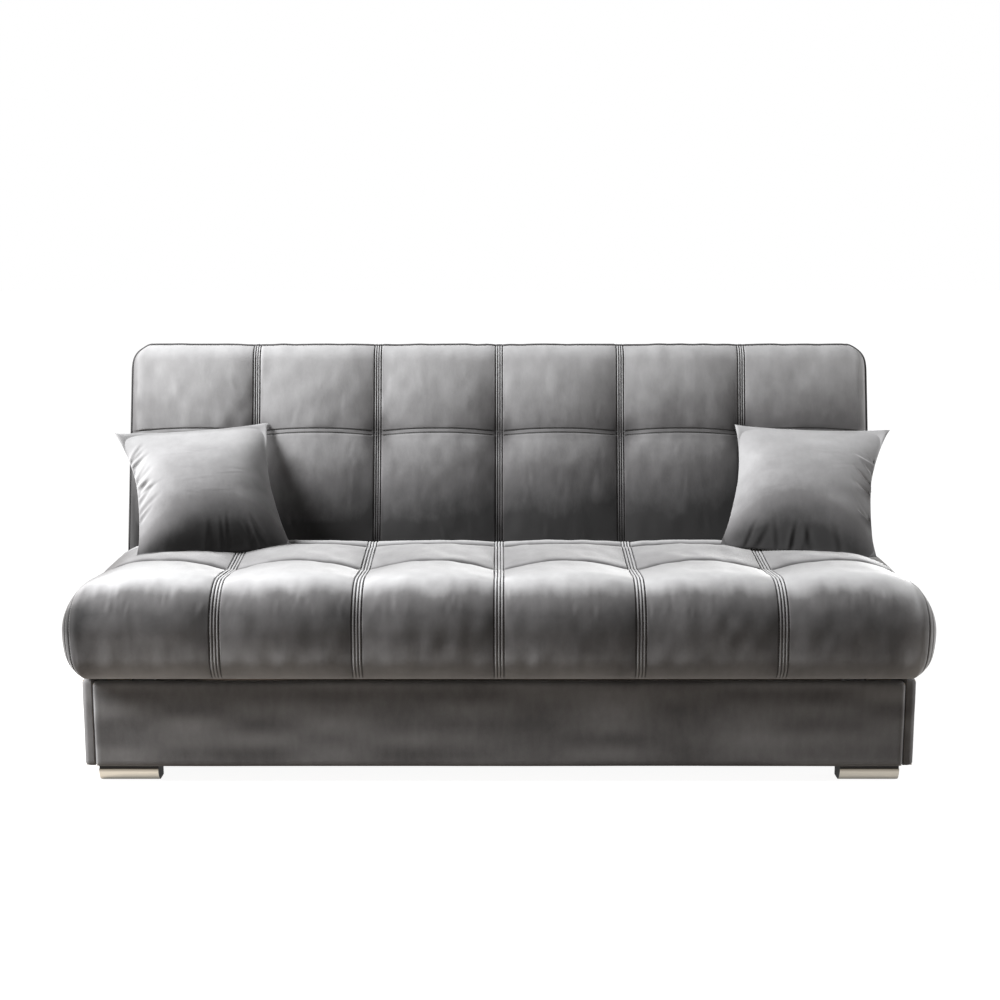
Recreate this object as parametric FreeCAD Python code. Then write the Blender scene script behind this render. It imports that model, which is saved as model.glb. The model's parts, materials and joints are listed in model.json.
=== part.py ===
"""Armless sofa bed: two quilted mattress halves hinged over a low upholstered linen box.

The frame is +X to the right in a front view, +Y to the back and +Z up, with the origin on the floor
under the middle of the whole sofa. Sizes are in millimetres and degrees.

Each mattress half is first drawn lying flat in its own frame: X across the sofa, Y from the hinge
centre to the free edge, Z from the frame up to the sleeper. Then it is set in place.
"""
import FreeCAD
import Part
import math
import os

from FreeCAD import Placement, Rotation, Vector

# Widths and the quilting
SEAT_WIDTH = 1970.0
BACK_WIDTH = 1942.0
COLUMN_PITCH = 318.0
COLUMN_COUNT = 6
SEAT_SEAMS_FROM_FRONT = (279.0, 487.0)
BACK_SEAMS_FROM_TOP = (245.0,)
QUILT_THICKNESS = 20.0
SEAM_ROUND = 12.0
SEAM_GROOVE_RADIUS = 14.0
SEAM_GROOVE_DEPTH = 6.0
SEAT_END_ROUND = 45.0
BACK_END_ROUND = 34.0

# Seat half
SEAT_DEPTH = 590.0
SEAT_HINGE_RADIUS = 109.0
SEAT_NOSE_HEIGHT = 228.0
SEAT_NOSE_TOP_RADIUS = 112.0
SEAT_NOSE_UNDER_RADIUS = 62.0
SEAT_RAIL_HEIGHT = 70.0
SEAT_FRAME_SETBACK = 118.0
SEAT_LIFT = 45.0

# Back half
BACK_REACH = 592.0
BACK_HINGE_RADIUS = 95.0
BACK_TOP_FRONT_RADIUS = 50.0
BACK_TOP_REAR_RADIUS = 40.0
BACK_RAIL_HEIGHT = 58.0
BACK_FRAME_SETBACK = 62.0
BACK_LEAN = 14.5
HALVES_GAP = 12.0

# Mattress frames
RAIL_THICKNESS = 30.0
HINGE_RAIL_SETBACK = 64.0
SLAT_WIDTH = 53.0
SLAT_THICKNESS = 8.0
SLAT_BOW = 12.0
SLATS_PER_BAY = 6
HOLDER_LENGTH = 34.0
HOLDER_HEIGHT = 14.0
HOLDER_WALL = 3.0
LINING_THICKNESS = 1.5
FOAM_CLEARANCE = 0.3
FRAME_CLEARANCE = 0.5

# Linen box
FOOT_HEIGHT = 39.0
BOX_WIDTH = 1900.0
SIDE_HEIGHT = 206.0
SIDE_SETBACK = 53.0
FRONT_SETBACK = 46.0
FRONT_HEIGHT = 200.0
FRONT_END_GAP = 3.0
REAR_BEHIND_HINGE = 101.0
BOARD = 19.0
WRAP = 3.0
WRAP_CLEARANCE = 0.2
WRAP_ROUND = 8.0
REAR_BOARD = 16.0
FLOOR_THICKNESS = 4.0
BATTEN_WIDTH = 60.0
BATTEN_HEIGHT = 20.0
BLOCK_SIZE = 30.0
BLOCK_HEADROOM = 22.0
SEAT_REST_GAP = 1.0

# Feet
FOOT_LENGTH = 136.0
FOOT_DEPTH = 62.0
FOOT_END_SETBACK = 31.0
FOOT_SETBACK = 10.0
FOOT_NECK = 7.0
FOOT_NECK_STEP = 4.0
FOOT_NOSE_RUN = 24.0
FOOT_TRIM = 1.6
FOOT_SCREW_PITCH = 68.0
FOOT_SCREW_RECESS = 20.0

# Book hinges
PLATE_THICKNESS = 5.0
PLATE_ROUND = 16.0
PLATE_FOOT_HEIGHT = 100.0
PLATE_ABOVE_FLOOR = 46.0
PLATE_WINDOW_ROUND = 14.0
HUB_RADIUS = 22.0
HORN_FOOT_RADIUS = 32.0
ARM_THICKNESS = 6.0
ARM_NECK_RUN = 62.0
ARM_LENGTH = 240.0
ARM_CLEARANCE = 2.0
WASHER_THICKNESS = 5.0
PIN_RADIUS = 6.0
PIN_RUNNING_FIT = 0.05
PIN_HEAD_RADIUS = 11.0
PIN_HEAD = 4.0
SLOT_CLEARANCE = 5.0
SLOT_SIDE_CLEARANCE = 3.0

# Bolts
BOLT_RADIUS = 4.0
BOLT_HEAD_RADIUS = 7.5
BOLT_HEAD = 4.0
BOLT_FIT = 0.1
BOLT_BITE = 12.0
ARM_BOLT_COUNT = 3
ARM_BOLT_BITE = 24.0
BLOCK_SIDE_BOLTS = (30.0, 124.0)
BLOCK_END_BOLTS = (54.0, 100.0)
SCREW_RADIUS = 2.5
SCREW_HEAD_RADIUS = 4.5
SCREW_HEAD = 3.0

# Scatter cushions
CUSHION_SIZE = 388.0
CUSHION_THICKNESS = 136.0
CUSHION_EDGE = 6.0
CUSHION_PULL = 0.08
CUSHION_COVER = 2.0
LEFT_CUSHION_X = -742.0
RIGHT_CUSHION_X = 758.0
CUSHION_TILT = 45.0
CUSHION_YAW = 17.0
CUSHION_CLEARANCE = 0.4
CUSHION_STATIONS = 9
CUSHION_FACETS = 1.0

# Levels and stations that follow from the sizes above
SEAT_UNDERSIDE = FOOT_HEIGHT + SIDE_HEIGHT + SEAT_REST_GAP
SEAT_HINGE_Z = SEAT_UNDERSIDE + SEAT_HINGE_RADIUS
BACK_HINGE_Z = SEAT_HINGE_Z + SEAT_HINGE_RADIUS - BACK_HINGE_RADIUS
LEAN = math.radians(BACK_LEAN)
BACK_HINGE_RUN = SEAT_DEPTH + HALVES_GAP + BACK_HINGE_RADIUS
OVERALL_DEPTH = (
    BACK_HINGE_RUN
    + (BACK_REACH - BACK_TOP_REAR_RADIUS) * math.sin(LEAN)
    + (BACK_HINGE_RADIUS - BACK_TOP_REAR_RADIUS) * math.cos(LEAN)
    + BACK_TOP_REAR_RADIUS
)
NOSE_Y = -OVERALL_DEPTH / 2
SEAT_REACH = SEAT_DEPTH - SEAT_HINGE_RADIUS
SEAT_HINGE_Y = NOSE_Y + SEAT_REACH
BACK_HINGE_Y = NOSE_Y + BACK_HINGE_RUN

# Hinge stack across the sofa, from the side board inwards
BOARD_INNER_X = BOX_WIDTH / 2 - WRAP - BOARD
PLATE_X = BOARD_INNER_X - PLATE_THICKNESS
ARM_OUTER_X = PLATE_X - WASHER_THICKNESS
ARM_X = ARM_OUTER_X - ARM_THICKNESS
SLOT_INNER_X = ARM_X - PIN_HEAD - SLOT_SIDE_CLEARANCE
SLOT_OUTER_X = BOARD_INNER_X + PIN_HEAD + SLOT_SIDE_CLEARANCE

# Stations of the box, front to back and bottom to top
FRONT_Y = NOSE_Y + FRONT_SETBACK
FRONT_INNER_Y = FRONT_Y + WRAP + BOARD
SIDE_FRONT_Y = NOSE_Y + SIDE_SETBACK
BOX_REAR_Y = BACK_HINGE_Y + REAR_BEHIND_HINGE
REAR_INNER_Y = BOX_REAR_Y - REAR_BOARD
FLOOR_Z = FOOT_HEIGHT + BATTEN_HEIGHT
BLOCK_Z = FLOOR_Z + FLOOR_THICKNESS
BLOCK_TOP = FOOT_HEIGHT + FRONT_HEIGHT - BLOCK_HEADROOM
FOOT_CENTRE = BOX_WIDTH / 2 - FOOT_END_SETBACK - FOOT_LENGTH / 2
PLANE_TOLERANCE = 0.001
UP = Vector(0, 0, 1)
ACROSS = Vector(1, 0, 0)
BACKWARD = Vector(0, 1, 0)


def box(x0, x1, y0, y1, z0, z1):
    return Part.makeBox(x1 - x0, y1 - y0, z1 - z0, Vector(x0, y0, z0))


def mirrored(shape):
    return shape.mirror(Vector(0, 0, 0), ACROSS)


def group(shapes):
    return Part.Compound(shapes)


def tangent_normals(circles):
    """Angles of the outward normals of the straight runs of a belt round the circles."""
    normals = []
    for (y0, z0, r0), (y1, z1, r1) in zip(circles, circles[1:] + circles[:1]):
        heading = math.atan2(z1 - z0, y1 - y0)
        normals.append(heading - math.acos((r0 - r1) / math.hypot(y1 - y0, z1 - z0)))
    return normals


def belt(circles, grow=0.0):
    """Outline of a belt round circles listed anticlockwise as (y, z, radius), each radius grown."""
    normals = tangent_normals(circles)

    def rim(index, angle):
        y, z, radius = circles[index]
        return Vector(0, y + (radius + grow) * math.cos(angle), z + (radius + grow) * math.sin(angle))

    edges = []
    for index in range(len(circles)):
        start, end = normals[index - 1], normals[index]
        while end < start:
            end += 2 * math.pi
        following = (index + 1) % len(circles)
        middle = (start + end) / 2
        edges.append(Part.Arc(rim(index, start), rim(index, middle), rim(index, end)).toShape())
        edges.append(Part.LineSegment(rim(index, end), rim(following, normals[index])).toShape())
    return Part.Wire(edges)


def prism(outline, x0, x1):
    face = Part.Face(outline)
    face.translate(Vector(x0, 0, 0))
    return face.extrude(Vector(x1 - x0, 0, 0))


def round_end(solid, x, radius):
    """Rounds the rim of the flat end of a prism at station x."""
    rim = []
    for edge in solid.Edges:
        bounds = edge.BoundBox
        if abs(bounds.XMin - x) < PLANE_TOLERANCE and abs(bounds.XMax - x) < PLANE_TOLERANCE:
            rim.append(edge)
    return solid.makeFillet(radius, rim)


def bolt(seat, direction, length, radius=BOLT_RADIUS, head_radius=BOLT_HEAD_RADIUS, head=BOLT_HEAD):
    """A bolt whose head lies on the seat point and whose shank runs along the direction."""
    shank = Part.makeCylinder(radius, length, seat, direction)
    cap = Part.makeCylinder(head_radius, head, seat - direction * head, direction)
    return shank.fuse(cap).removeSplitter()


def bolt_hole(seat, direction, length, radius=BOLT_RADIUS):
    return Part.makeCylinder(radius + BOLT_FIT, length + BOLT_FIT, seat, direction)


class Half:
    """Sizes of one mattress half, drawn flat, and the place where it is set."""

    def __init__(self, width, reach, circles, end_round, rail_height, frame_setback, seams, swing, place):
        self.width = width
        self.circles = circles
        self.end_round = end_round
        self.seams = seams
        self.swing = math.radians(swing)
        self.place = place
        self.hinge_radius = circles[0][2]
        self.rail_bottom = -self.hinge_radius + LINING_THICKNESS
        self.rail_top = self.rail_bottom + rail_height
        self.rail_middle = self.rail_bottom + rail_height / 2
        self.hinge_rail_y = HINGE_RAIL_SETBACK - self.hinge_radius
        self.free_rail_y = reach - frame_setback
        self.recess_top = self.rail_top + HOLDER_HEIGHT + SLAT_BOW + FRAME_CLEARANCE
        self.below = 2 * self.hinge_radius

    def set(self, shape):
        placed = shape.copy()
        placed.Placement = self.place.multiply(placed.Placement)
        return placed

    def top_normal(self):
        angle = tangent_normals(self.circles)[-1]
        return Vector(0, math.cos(angle), math.sin(angle))


def seat_half():
    under = (
        SEAT_REACH - SEAT_NOSE_UNDER_RADIUS,
        SEAT_NOSE_UNDER_RADIUS - SEAT_HINGE_RADIUS,
        SEAT_NOSE_UNDER_RADIUS,
    )
    over = (
        SEAT_REACH - SEAT_NOSE_TOP_RADIUS,
        SEAT_NOSE_HEIGHT - SEAT_HINGE_RADIUS - SEAT_NOSE_TOP_RADIUS,
        SEAT_NOSE_TOP_RADIUS,
    )
    place = Placement(Vector(0, SEAT_HINGE_Y, SEAT_HINGE_Z), Rotation(UP, 180))
    seams = [SEAT_REACH - run for run in SEAT_SEAMS_FROM_FRONT]
    return Half(
        SEAT_WIDTH, SEAT_REACH, [(0.0, 0.0, SEAT_HINGE_RADIUS), under, over], SEAT_END_ROUND,
        SEAT_RAIL_HEIGHT, SEAT_FRAME_SETBACK, seams, SEAT_LIFT, place,
    )


def back_half():
    rear = (
        BACK_REACH - BACK_TOP_REAR_RADIUS,
        BACK_TOP_REAR_RADIUS - BACK_HINGE_RADIUS,
        BACK_TOP_REAR_RADIUS,
    )
    front = (
        BACK_REACH - BACK_TOP_FRONT_RADIUS,
        BACK_HINGE_RADIUS - BACK_TOP_FRONT_RADIUS,
        BACK_TOP_FRONT_RADIUS,
    )
    place = Placement(Vector(0, BACK_HINGE_Y, BACK_HINGE_Z), Rotation(ACROSS, 90 - BACK_LEAN))
    seams = [BACK_REACH - run for run in BACK_SEAMS_FROM_TOP]
    return Half(
        BACK_WIDTH, BACK_REACH, [(0.0, 0.0, BACK_HINGE_RADIUS), rear, front], BACK_END_ROUND,
        BACK_RAIL_HEIGHT, BACK_FRAME_SETBACK, seams, 90 - BACK_LEAN, place,
    )


def column_bounds(half):
    """Stations of the quilt's upright seams, with the two ends of the half."""
    first = -(COLUMN_COUNT / 2 - 1) * COLUMN_PITCH
    seams = [first + COLUMN_PITCH * index for index in range(COLUMN_COUNT - 1)]
    return [-half.width / 2] + seams + [half.width / 2]


def frame_recess(half):
    """Room for the wooden frame, its slats and the hinge arms, open underneath."""
    return box(
        -PLATE_X, PLATE_X,
        half.hinge_rail_y - FRAME_CLEARANCE, half.free_rail_y + FRAME_CLEARANCE,
        -half.below, half.recess_top,
    )


def hinge_slot(half):
    """Room for one horn of the hinge plate over the whole swing of the half."""
    wide = HORN_FOOT_RADIUS + SLOT_CLEARANCE
    hub = (0.0, 0.0, HUB_RADIUS + SLOT_CLEARANCE)
    swung = (-half.below * math.sin(half.swing), -half.below * math.cos(half.swing), wide)
    outline = belt([hub, swung, (0.0, -half.below, wide)])
    return prism(outline, SLOT_INNER_X, SLOT_OUTER_X)


def arm_body(half, grow=0.0):
    """Cranked hinge arm: a hub on the hinge centre and a foot along the end rail."""
    hub = (0.0, 0.0, HUB_RADIUS)
    knee = (ARM_NECK_RUN, half.rail_middle, HUB_RADIUS)
    toe = (ARM_LENGTH, half.rail_middle, HUB_RADIUS)
    x0, x1 = ARM_X - grow, ARM_OUTER_X + grow
    neck = prism(belt([hub, knee], grow), x0, x1)
    foot = prism(belt([knee, toe], grow), x0, x1)
    return neck.fuse(foot).removeSplitter()


def cut_both_sides(shape, tool):
    return shape.cut([tool, mirrored(tool)])


def quilted_cover(half):
    """Quilted fabric cover: padded columns with sunk seams, hollow, open under the frame."""
    bounds = column_bounds(half)
    pads = []
    for x0, x1 in zip(bounds, bounds[1:]):
        pad = prism(belt(half.circles), x0, x1)
        for x in (x0, x1):
            at_end = abs(x) == half.width / 2
            pad = round_end(pad, x, half.end_round if at_end else SEAM_ROUND)
        pads.append(pad)
    cover = pads[0].multiFuse(pads[1:])
    cover = cover.cut([seam_groove(half, y) for y in half.seams])
    cover = cover.cut([stuffing_space(half, QUILT_THICKNESS), frame_recess(half)])
    return half.set(cut_both_sides(cover, hinge_slot(half)))


def seam_groove(half, y):
    """Round cutter along a seam across the columns, on the sleeping face."""
    normal = half.top_normal()
    start = normal * half.hinge_radius
    run = Vector(0, normal.z, -normal.y)
    point = start + run * ((y - start.y) / run.y)
    axis = point + normal * (SEAM_GROOVE_RADIUS - SEAM_GROOVE_DEPTH)
    return Part.makeCylinder(SEAM_GROOVE_RADIUS, half.width, axis - ACROSS * (half.width / 2), ACROSS)


def stuffing_space(half, inset):
    """The space inside the cover, at an even distance from its plain outline."""
    end = half.width / 2 - inset
    space = prism(belt(half.circles, -inset), -end, end)
    smallest = min(radius for _, _, radius in half.circles) - inset
    rounding = min(half.end_round - inset, smallest / 2)
    return round_end(round_end(space, -end, rounding), end, rounding)


def foam_core(half):
    """Foam that fills the cover round the frame."""
    core = stuffing_space(half, QUILT_THICKNESS + FOAM_CLEARANCE).cut(frame_recess(half))
    core = cut_both_sides(core, hinge_slot(half))
    return half.set(cut_both_sides(core, arm_body(half, ARM_CLEARANCE)))


def end_rail(half):
    """End rail of the frame, bored for the arm bolts."""
    rail = box(
        ARM_X - RAIL_THICKNESS, ARM_X, half.hinge_rail_y, half.free_rail_y,
        half.rail_bottom, half.rail_top,
    )
    holes = [bolt_hole(*placed) for placed in arm_bolt_places(half)]
    return rail.cut(holes)


def long_rail(half, y):
    reach = ARM_X - RAIL_THICKNESS
    return half.set(box(-reach, reach, y, y + RAIL_THICKNESS, half.rail_bottom, half.rail_top))


def centre_rail(half):
    return half.set(box(
        -RAIL_THICKNESS / 2, RAIL_THICKNESS / 2,
        half.hinge_rail_y + RAIL_THICKNESS, half.free_rail_y - RAIL_THICKNESS,
        half.rail_bottom, half.rail_top,
    ))


def slat_stations():
    """Middle of each sprung slat across the sofa."""
    bay = ARM_X - RAIL_THICKNESS - RAIL_THICKNESS / 2
    pitch = bay / SLATS_PER_BAY
    right = [RAIL_THICKNESS / 2 + pitch * (index + 0.5) for index in range(SLATS_PER_BAY)]
    return [-x for x in reversed(right)] + right


def slat_body(half, x, grow=0.0):
    """Bowed slat from holder to holder, at one station."""
    y0 = half.hinge_rail_y + HOLDER_WALL - grow
    y1 = half.free_rail_y - HOLDER_WALL + grow
    low = half.rail_top + (HOLDER_HEIGHT - SLAT_THICKNESS) / 2 - grow
    high = low + SLAT_THICKNESS + 2 * grow
    middle = (y0 + y1) / 2
    under = Part.Arc(Vector(0, y0, low), Vector(0, middle, low + SLAT_BOW), Vector(0, y1, low))
    over = Part.Arc(Vector(0, y1, high), Vector(0, middle, high + SLAT_BOW), Vector(0, y0, high))
    ends = [
        Part.LineSegment(Vector(0, y1, low), Vector(0, y1, high)),
        Part.LineSegment(Vector(0, y0, high), Vector(0, y0, low)),
    ]
    outline = Part.Wire([part.toShape() for part in (under, ends[0], over, ends[1])])
    return prism(outline, x - SLAT_WIDTH / 2 - grow, x + SLAT_WIDTH / 2 + grow)


def slats(half):
    return half.set(group([slat_body(half, x) for x in slat_stations()]))


def slat_holders(half):
    """Plastic shoes on the long rails that take the slat ends."""
    shoes = []
    reach = SLAT_WIDTH / 2 + HOLDER_WALL
    for x in slat_stations():
        pocket = slat_body(half, x, FRAME_CLEARANCE / 2)
        for y in (half.hinge_rail_y, half.free_rail_y - HOLDER_LENGTH):
            block = box(
                x - reach, x + reach, y, y + HOLDER_LENGTH,
                half.rail_top, half.rail_top + HOLDER_HEIGHT,
            )
            shoes.append(block.cut(pocket))
    return half.set(group(shoes))


def underside_lining(half):
    """Thin lining across the open underside of the frame, cut out for the hinge plates."""
    reach = PLATE_X - FRAME_CLEARANCE
    sheet = box(
        -reach, reach, half.hinge_rail_y, half.free_rail_y,
        -half.hinge_radius, half.rail_bottom,
    )
    return half.set(cut_both_sides(sheet, hinge_slot(half)))


def arm_bolt_places(half):
    """Seat point, direction and length of the bolts that hold an arm to its end rail."""
    pitch = (ARM_LENGTH - ARM_NECK_RUN) / (ARM_BOLT_COUNT - 1)
    places = []
    for index in range(ARM_BOLT_COUNT):
        seat = Vector(ARM_OUTER_X, ARM_NECK_RUN + pitch * index, half.rail_middle)
        places.append((seat, -ACROSS, ARM_THICKNESS + ARM_BOLT_BITE))
    return places


def pin_bore(start, length):
    return Part.makeCylinder(PIN_RADIUS + PIN_RUNNING_FIT, length, start, ACROSS)


def hinge_arm(half):
    bore = pin_bore(Vector(ARM_X, 0, 0), ARM_THICKNESS)
    holes = [bolt_hole(*placed) for placed in arm_bolt_places(half)]
    return arm_body(half).cut([bore] + holes)


def arm_bolts(half):
    bolts = [bolt(*placed) for placed in arm_bolt_places(half)]
    return half.set(group(bolts + [mirrored(part) for part in bolts]))


def hinge_centres():
    return [(SEAT_HINGE_Y, SEAT_HINGE_Z), (BACK_HINGE_Y, BACK_HINGE_Z)]


def plate_levels():
    bottom = FOOT_HEIGHT + PLATE_ABOVE_FLOOR
    return bottom + PLATE_ROUND, bottom + PLATE_FOOT_HEIGHT - PLATE_ROUND


def plate_bolt_places():
    """Seat point, direction and length of the bolts that hold a hinge plate to its side board."""
    places = []
    for z in plate_levels():
        for y, _ in hinge_centres():
            places.append((Vector(PLATE_X, y, z), ACROSS, PLATE_THICKNESS + BOLT_BITE))
    return places


def hinge_plate():
    """Pressed plate on the side board with one horn up to each hinge centre."""
    low, high = plate_levels()
    front, rear = SEAT_HINGE_Y, BACK_HINGE_Y
    foot = prism(
        belt([
            (front, high, HORN_FOOT_RADIUS), (front, low, HORN_FOOT_RADIUS),
            (rear, low, HORN_FOOT_RADIUS), (rear, high, HORN_FOOT_RADIUS),
        ]),
        PLATE_X, BOARD_INNER_X,
    )
    horns = []
    bores = []
    for y, z in hinge_centres():
        horn = belt([(y, z, HUB_RADIUS), (y, high, HORN_FOOT_RADIUS)])
        horns.append(prism(horn, PLATE_X, BOARD_INNER_X))
        bores.append(pin_bore(Vector(PLATE_X, y, z), PLATE_THICKNESS))
    inset = HORN_FOOT_RADIUS + PLATE_WINDOW_ROUND
    middle = (low + high) / 2
    window = prism(
        belt([
            (front + inset, middle, PLATE_WINDOW_ROUND), (rear - inset, middle, PLATE_WINDOW_ROUND),
        ]),
        PLATE_X, BOARD_INNER_X,
    )
    plate = foot.multiFuse(horns).removeSplitter()
    holes = [bolt_hole(*placed) for placed in plate_bolt_places()]
    return plate.cut(bores + [window] + holes)


def pivot_pin(y, z):
    """Riveted pin through an arm, its washer and the hinge plate."""
    shank = Part.makeCylinder(PIN_RADIUS, BOARD_INNER_X - ARM_X, Vector(ARM_X, y, z), ACROSS)
    inner = Part.makeCylinder(PIN_HEAD_RADIUS, PIN_HEAD, Vector(ARM_X, y, z), -ACROSS)
    outer = Part.makeCylinder(PIN_HEAD_RADIUS, PIN_HEAD, Vector(BOARD_INNER_X, y, z), ACROSS)
    return shank.multiFuse([inner, outer]).removeSplitter()


def hinge_washer(y, z):
    start = Vector(ARM_OUTER_X, y, z)
    ring = Part.makeCylinder(PIN_HEAD_RADIUS, WASHER_THICKNESS, start, ACROSS)
    return ring.cut(pin_bore(start, WASHER_THICKNESS))


def both_sides(shapes):
    return group(shapes + [mirrored(shape) for shape in shapes])


def front_board():
    reach = BOX_WIDTH / 2 - WRAP - BOARD - FRONT_END_GAP - WRAP
    board = box(
        -reach, reach, FRONT_Y + WRAP, FRONT_INNER_Y,
        FOOT_HEIGHT + WRAP, FOOT_HEIGHT + FRONT_HEIGHT - WRAP,
    )
    return board.cut([bolt_hole(*placed) for placed in block_bolts_along(front_blocks(), -BACKWARD)])


def front_cover():
    """Fabric pulled round the face and edges of the front board."""
    reach = BOX_WIDTH / 2 - WRAP - BOARD - FRONT_END_GAP
    outer = box(-reach, reach, FRONT_Y, FRONT_INNER_Y, FOOT_HEIGHT, FOOT_HEIGHT + FRONT_HEIGHT)
    rim = [edge for edge in outer.Edges if edge.BoundBox.YMax < FRONT_Y + PLANE_TOLERANCE]
    inner = reach - WRAP + WRAP_CLEARANCE
    space = box(
        -inner, inner, FRONT_Y + WRAP - WRAP_CLEARANCE, FRONT_INNER_Y,
        FOOT_HEIGHT + WRAP - WRAP_CLEARANCE, FOOT_HEIGHT + FRONT_HEIGHT - WRAP + WRAP_CLEARANCE,
    )
    return outer.makeFillet(WRAP_ROUND, rim).cut(space)


def side_board():
    """Side board of the box, bored for the corner blocks and the hinge plate."""
    board = box(
        BOARD_INNER_X, BOARD_INNER_X + BOARD, SIDE_FRONT_Y + WRAP, BOX_REAR_Y - WRAP,
        FOOT_HEIGHT + WRAP, FOOT_HEIGHT + SIDE_HEIGHT - WRAP,
    )
    places = plate_bolt_places() + block_bolts_along(front_blocks() + rear_blocks(), ACROSS)
    return board.cut([bolt_hole(*placed) for placed in places])


def side_cover():
    """Fabric pulled round the outer face and edges of a side board."""
    outer_x = BOX_WIDTH / 2
    outer = box(
        BOARD_INNER_X, outer_x, SIDE_FRONT_Y, BOX_REAR_Y,
        FOOT_HEIGHT, FOOT_HEIGHT + SIDE_HEIGHT,
    )
    rim = [edge for edge in outer.Edges if edge.BoundBox.XMin > outer_x - PLANE_TOLERANCE]
    space = box(
        BOARD_INNER_X, outer_x - WRAP + WRAP_CLEARANCE,
        SIDE_FRONT_Y + WRAP - WRAP_CLEARANCE, BOX_REAR_Y - WRAP + WRAP_CLEARANCE,
        FOOT_HEIGHT + WRAP - WRAP_CLEARANCE, FOOT_HEIGHT + SIDE_HEIGHT - WRAP + WRAP_CLEARANCE,
    )
    return outer.makeFillet(WRAP_ROUND, rim).cut(space)


def rear_board():
    board = box(
        -BOARD_INNER_X, BOARD_INNER_X, REAR_INNER_Y, BOX_REAR_Y,
        FOOT_HEIGHT, FOOT_HEIGHT + FRONT_HEIGHT,
    )
    return board.cut([bolt_hole(*placed) for placed in block_bolts_along(rear_blocks(), BACKWARD)])


def batten_stations():
    middle = (FRONT_INNER_Y + REAR_INNER_Y - BATTEN_WIDTH) / 2
    return [FRONT_INNER_Y, middle, REAR_INNER_Y - BATTEN_WIDTH]


def floor_battens():
    """Bearers across the bottom of the box, bored for the foot screws."""
    bars = []
    for y in batten_stations():
        bar = box(-BOARD_INNER_X, BOARD_INNER_X, y, y + BATTEN_WIDTH, FOOT_HEIGHT, FLOOR_Z)
        holes = [
            bolt_hole(at + UP * FOOT_HEIGHT, UP, BOLT_BITE, SCREW_RADIUS)
            for at in foot_screw_points() if y < at.y < y + BATTEN_WIDTH
        ]
        bars.append(bar.cut(holes) if holes else bar)
    return group(bars)


def box_floor():
    return box(-BOARD_INNER_X, BOARD_INNER_X, FRONT_INNER_Y, REAR_INNER_Y, FLOOR_Z, BLOCK_Z)


def front_blocks():
    x = BOARD_INNER_X - BLOCK_SIZE / 2
    y = FRONT_INNER_Y + BLOCK_SIZE / 2
    return [(x, y), (-x, y)]


def rear_blocks():
    x = BOARD_INNER_X - BLOCK_SIZE / 2
    y = REAR_INNER_Y - BLOCK_SIZE / 2
    return [(x, y), (-x, y)]


def block_bolts_along(blocks, direction):
    """Seat point, direction and length of the bolts from corner blocks into the board beyond them."""
    sideways = direction.x != 0
    places = []
    for x, y in blocks:
        if direction.x * x < 0:
            continue
        for rise in BLOCK_SIDE_BOLTS if sideways else BLOCK_END_BOLTS:
            seat = Vector(x, y, BLOCK_Z + rise) - direction * (BLOCK_SIZE / 2)
            places.append((seat, direction, BLOCK_SIZE + BOLT_BITE))
    return places


def all_block_bolts():
    blocks = front_blocks() + rear_blocks()
    places = block_bolts_along(front_blocks(), -BACKWARD) + block_bolts_along(rear_blocks(), BACKWARD)
    return places + block_bolts_along(blocks, ACROSS) + block_bolts_along(blocks, -ACROSS)


def corner_blocks():
    holes = [bolt_hole(*placed) for placed in all_block_bolts()]
    half = BLOCK_SIZE / 2
    posts = []
    for x, y in front_blocks() + rear_blocks():
        posts.append(box(x - half, x + half, y - half, y + half, BLOCK_Z, BLOCK_TOP).cut(holes))
    return group(posts)


def box_bolts():
    return group([bolt(*placed) for placed in all_block_bolts()])


def foot_front_edges():
    """Front edge stations of the feet, and which way their curved faces point."""
    return [(FRONT_Y + FOOT_SETBACK, 1), (BOX_REAR_Y - FOOT_SETBACK, -1)]


def foot_nose(inset):
    """Curved face of a foot, from under its neck to the sole, moved in by the inset."""
    top = FOOT_HEIGHT - FOOT_NECK
    bend = FOOT_NOSE_RUN * (1 - math.sqrt(0.5))
    rise = top * (1 - math.sqrt(0.5))
    return Part.Arc(
        Vector(0, inset, top), Vector(0, bend + inset, rise + inset / 2), Vector(0, FOOT_NOSE_RUN + inset, 0)
    )


def foot_body():
    """Moulded foot with a stepped neck and a nose that curves under, drawn with its front at zero."""
    top = FOOT_HEIGHT - FOOT_NECK
    nose = foot_nose(FOOT_TRIM)
    heel = FOOT_DEPTH - FOOT_NECK_STEP
    corners = [
        Vector(0, FOOT_NOSE_RUN + FOOT_TRIM, 0), Vector(0, heel, 0), Vector(0, heel, FOOT_HEIGHT),
        Vector(0, FOOT_NECK_STEP, FOOT_HEIGHT), Vector(0, FOOT_NECK_STEP, top), Vector(0, FOOT_TRIM, top),
    ]
    edges = [nose.toShape()]
    for start, end in zip(corners, corners[1:]):
        edges.append(Part.LineSegment(start, end).toShape())
    body = prism(Part.Wire(Part.sortEdges(edges)[0]), -FOOT_LENGTH / 2, FOOT_LENGTH / 2)
    holes = []
    for at in screw_pattern():
        head = Vector(at.x, at.y, 0)
        holes.append(Part.makeCylinder(SCREW_RADIUS + BOLT_FIT, FOOT_HEIGHT, head, UP))
        holes.append(Part.makeCylinder(SCREW_HEAD_RADIUS + BOLT_FIT, FOOT_SCREW_RECESS, head, UP))
    return body.cut(holes)


def foot_trim():
    """Bright metal strip bent round the nose of a foot."""
    outer = foot_nose(0.0)
    inner = foot_nose(FOOT_TRIM)
    edges = [
        outer.toShape(), inner.toShape(),
        Part.LineSegment(outer.StartPoint, inner.StartPoint).toShape(),
        Part.LineSegment(outer.EndPoint, inner.EndPoint).toShape(),
    ]
    return prism(Part.Wire(Part.sortEdges(edges)[0]), -FOOT_LENGTH / 2, FOOT_LENGTH / 2)


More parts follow.
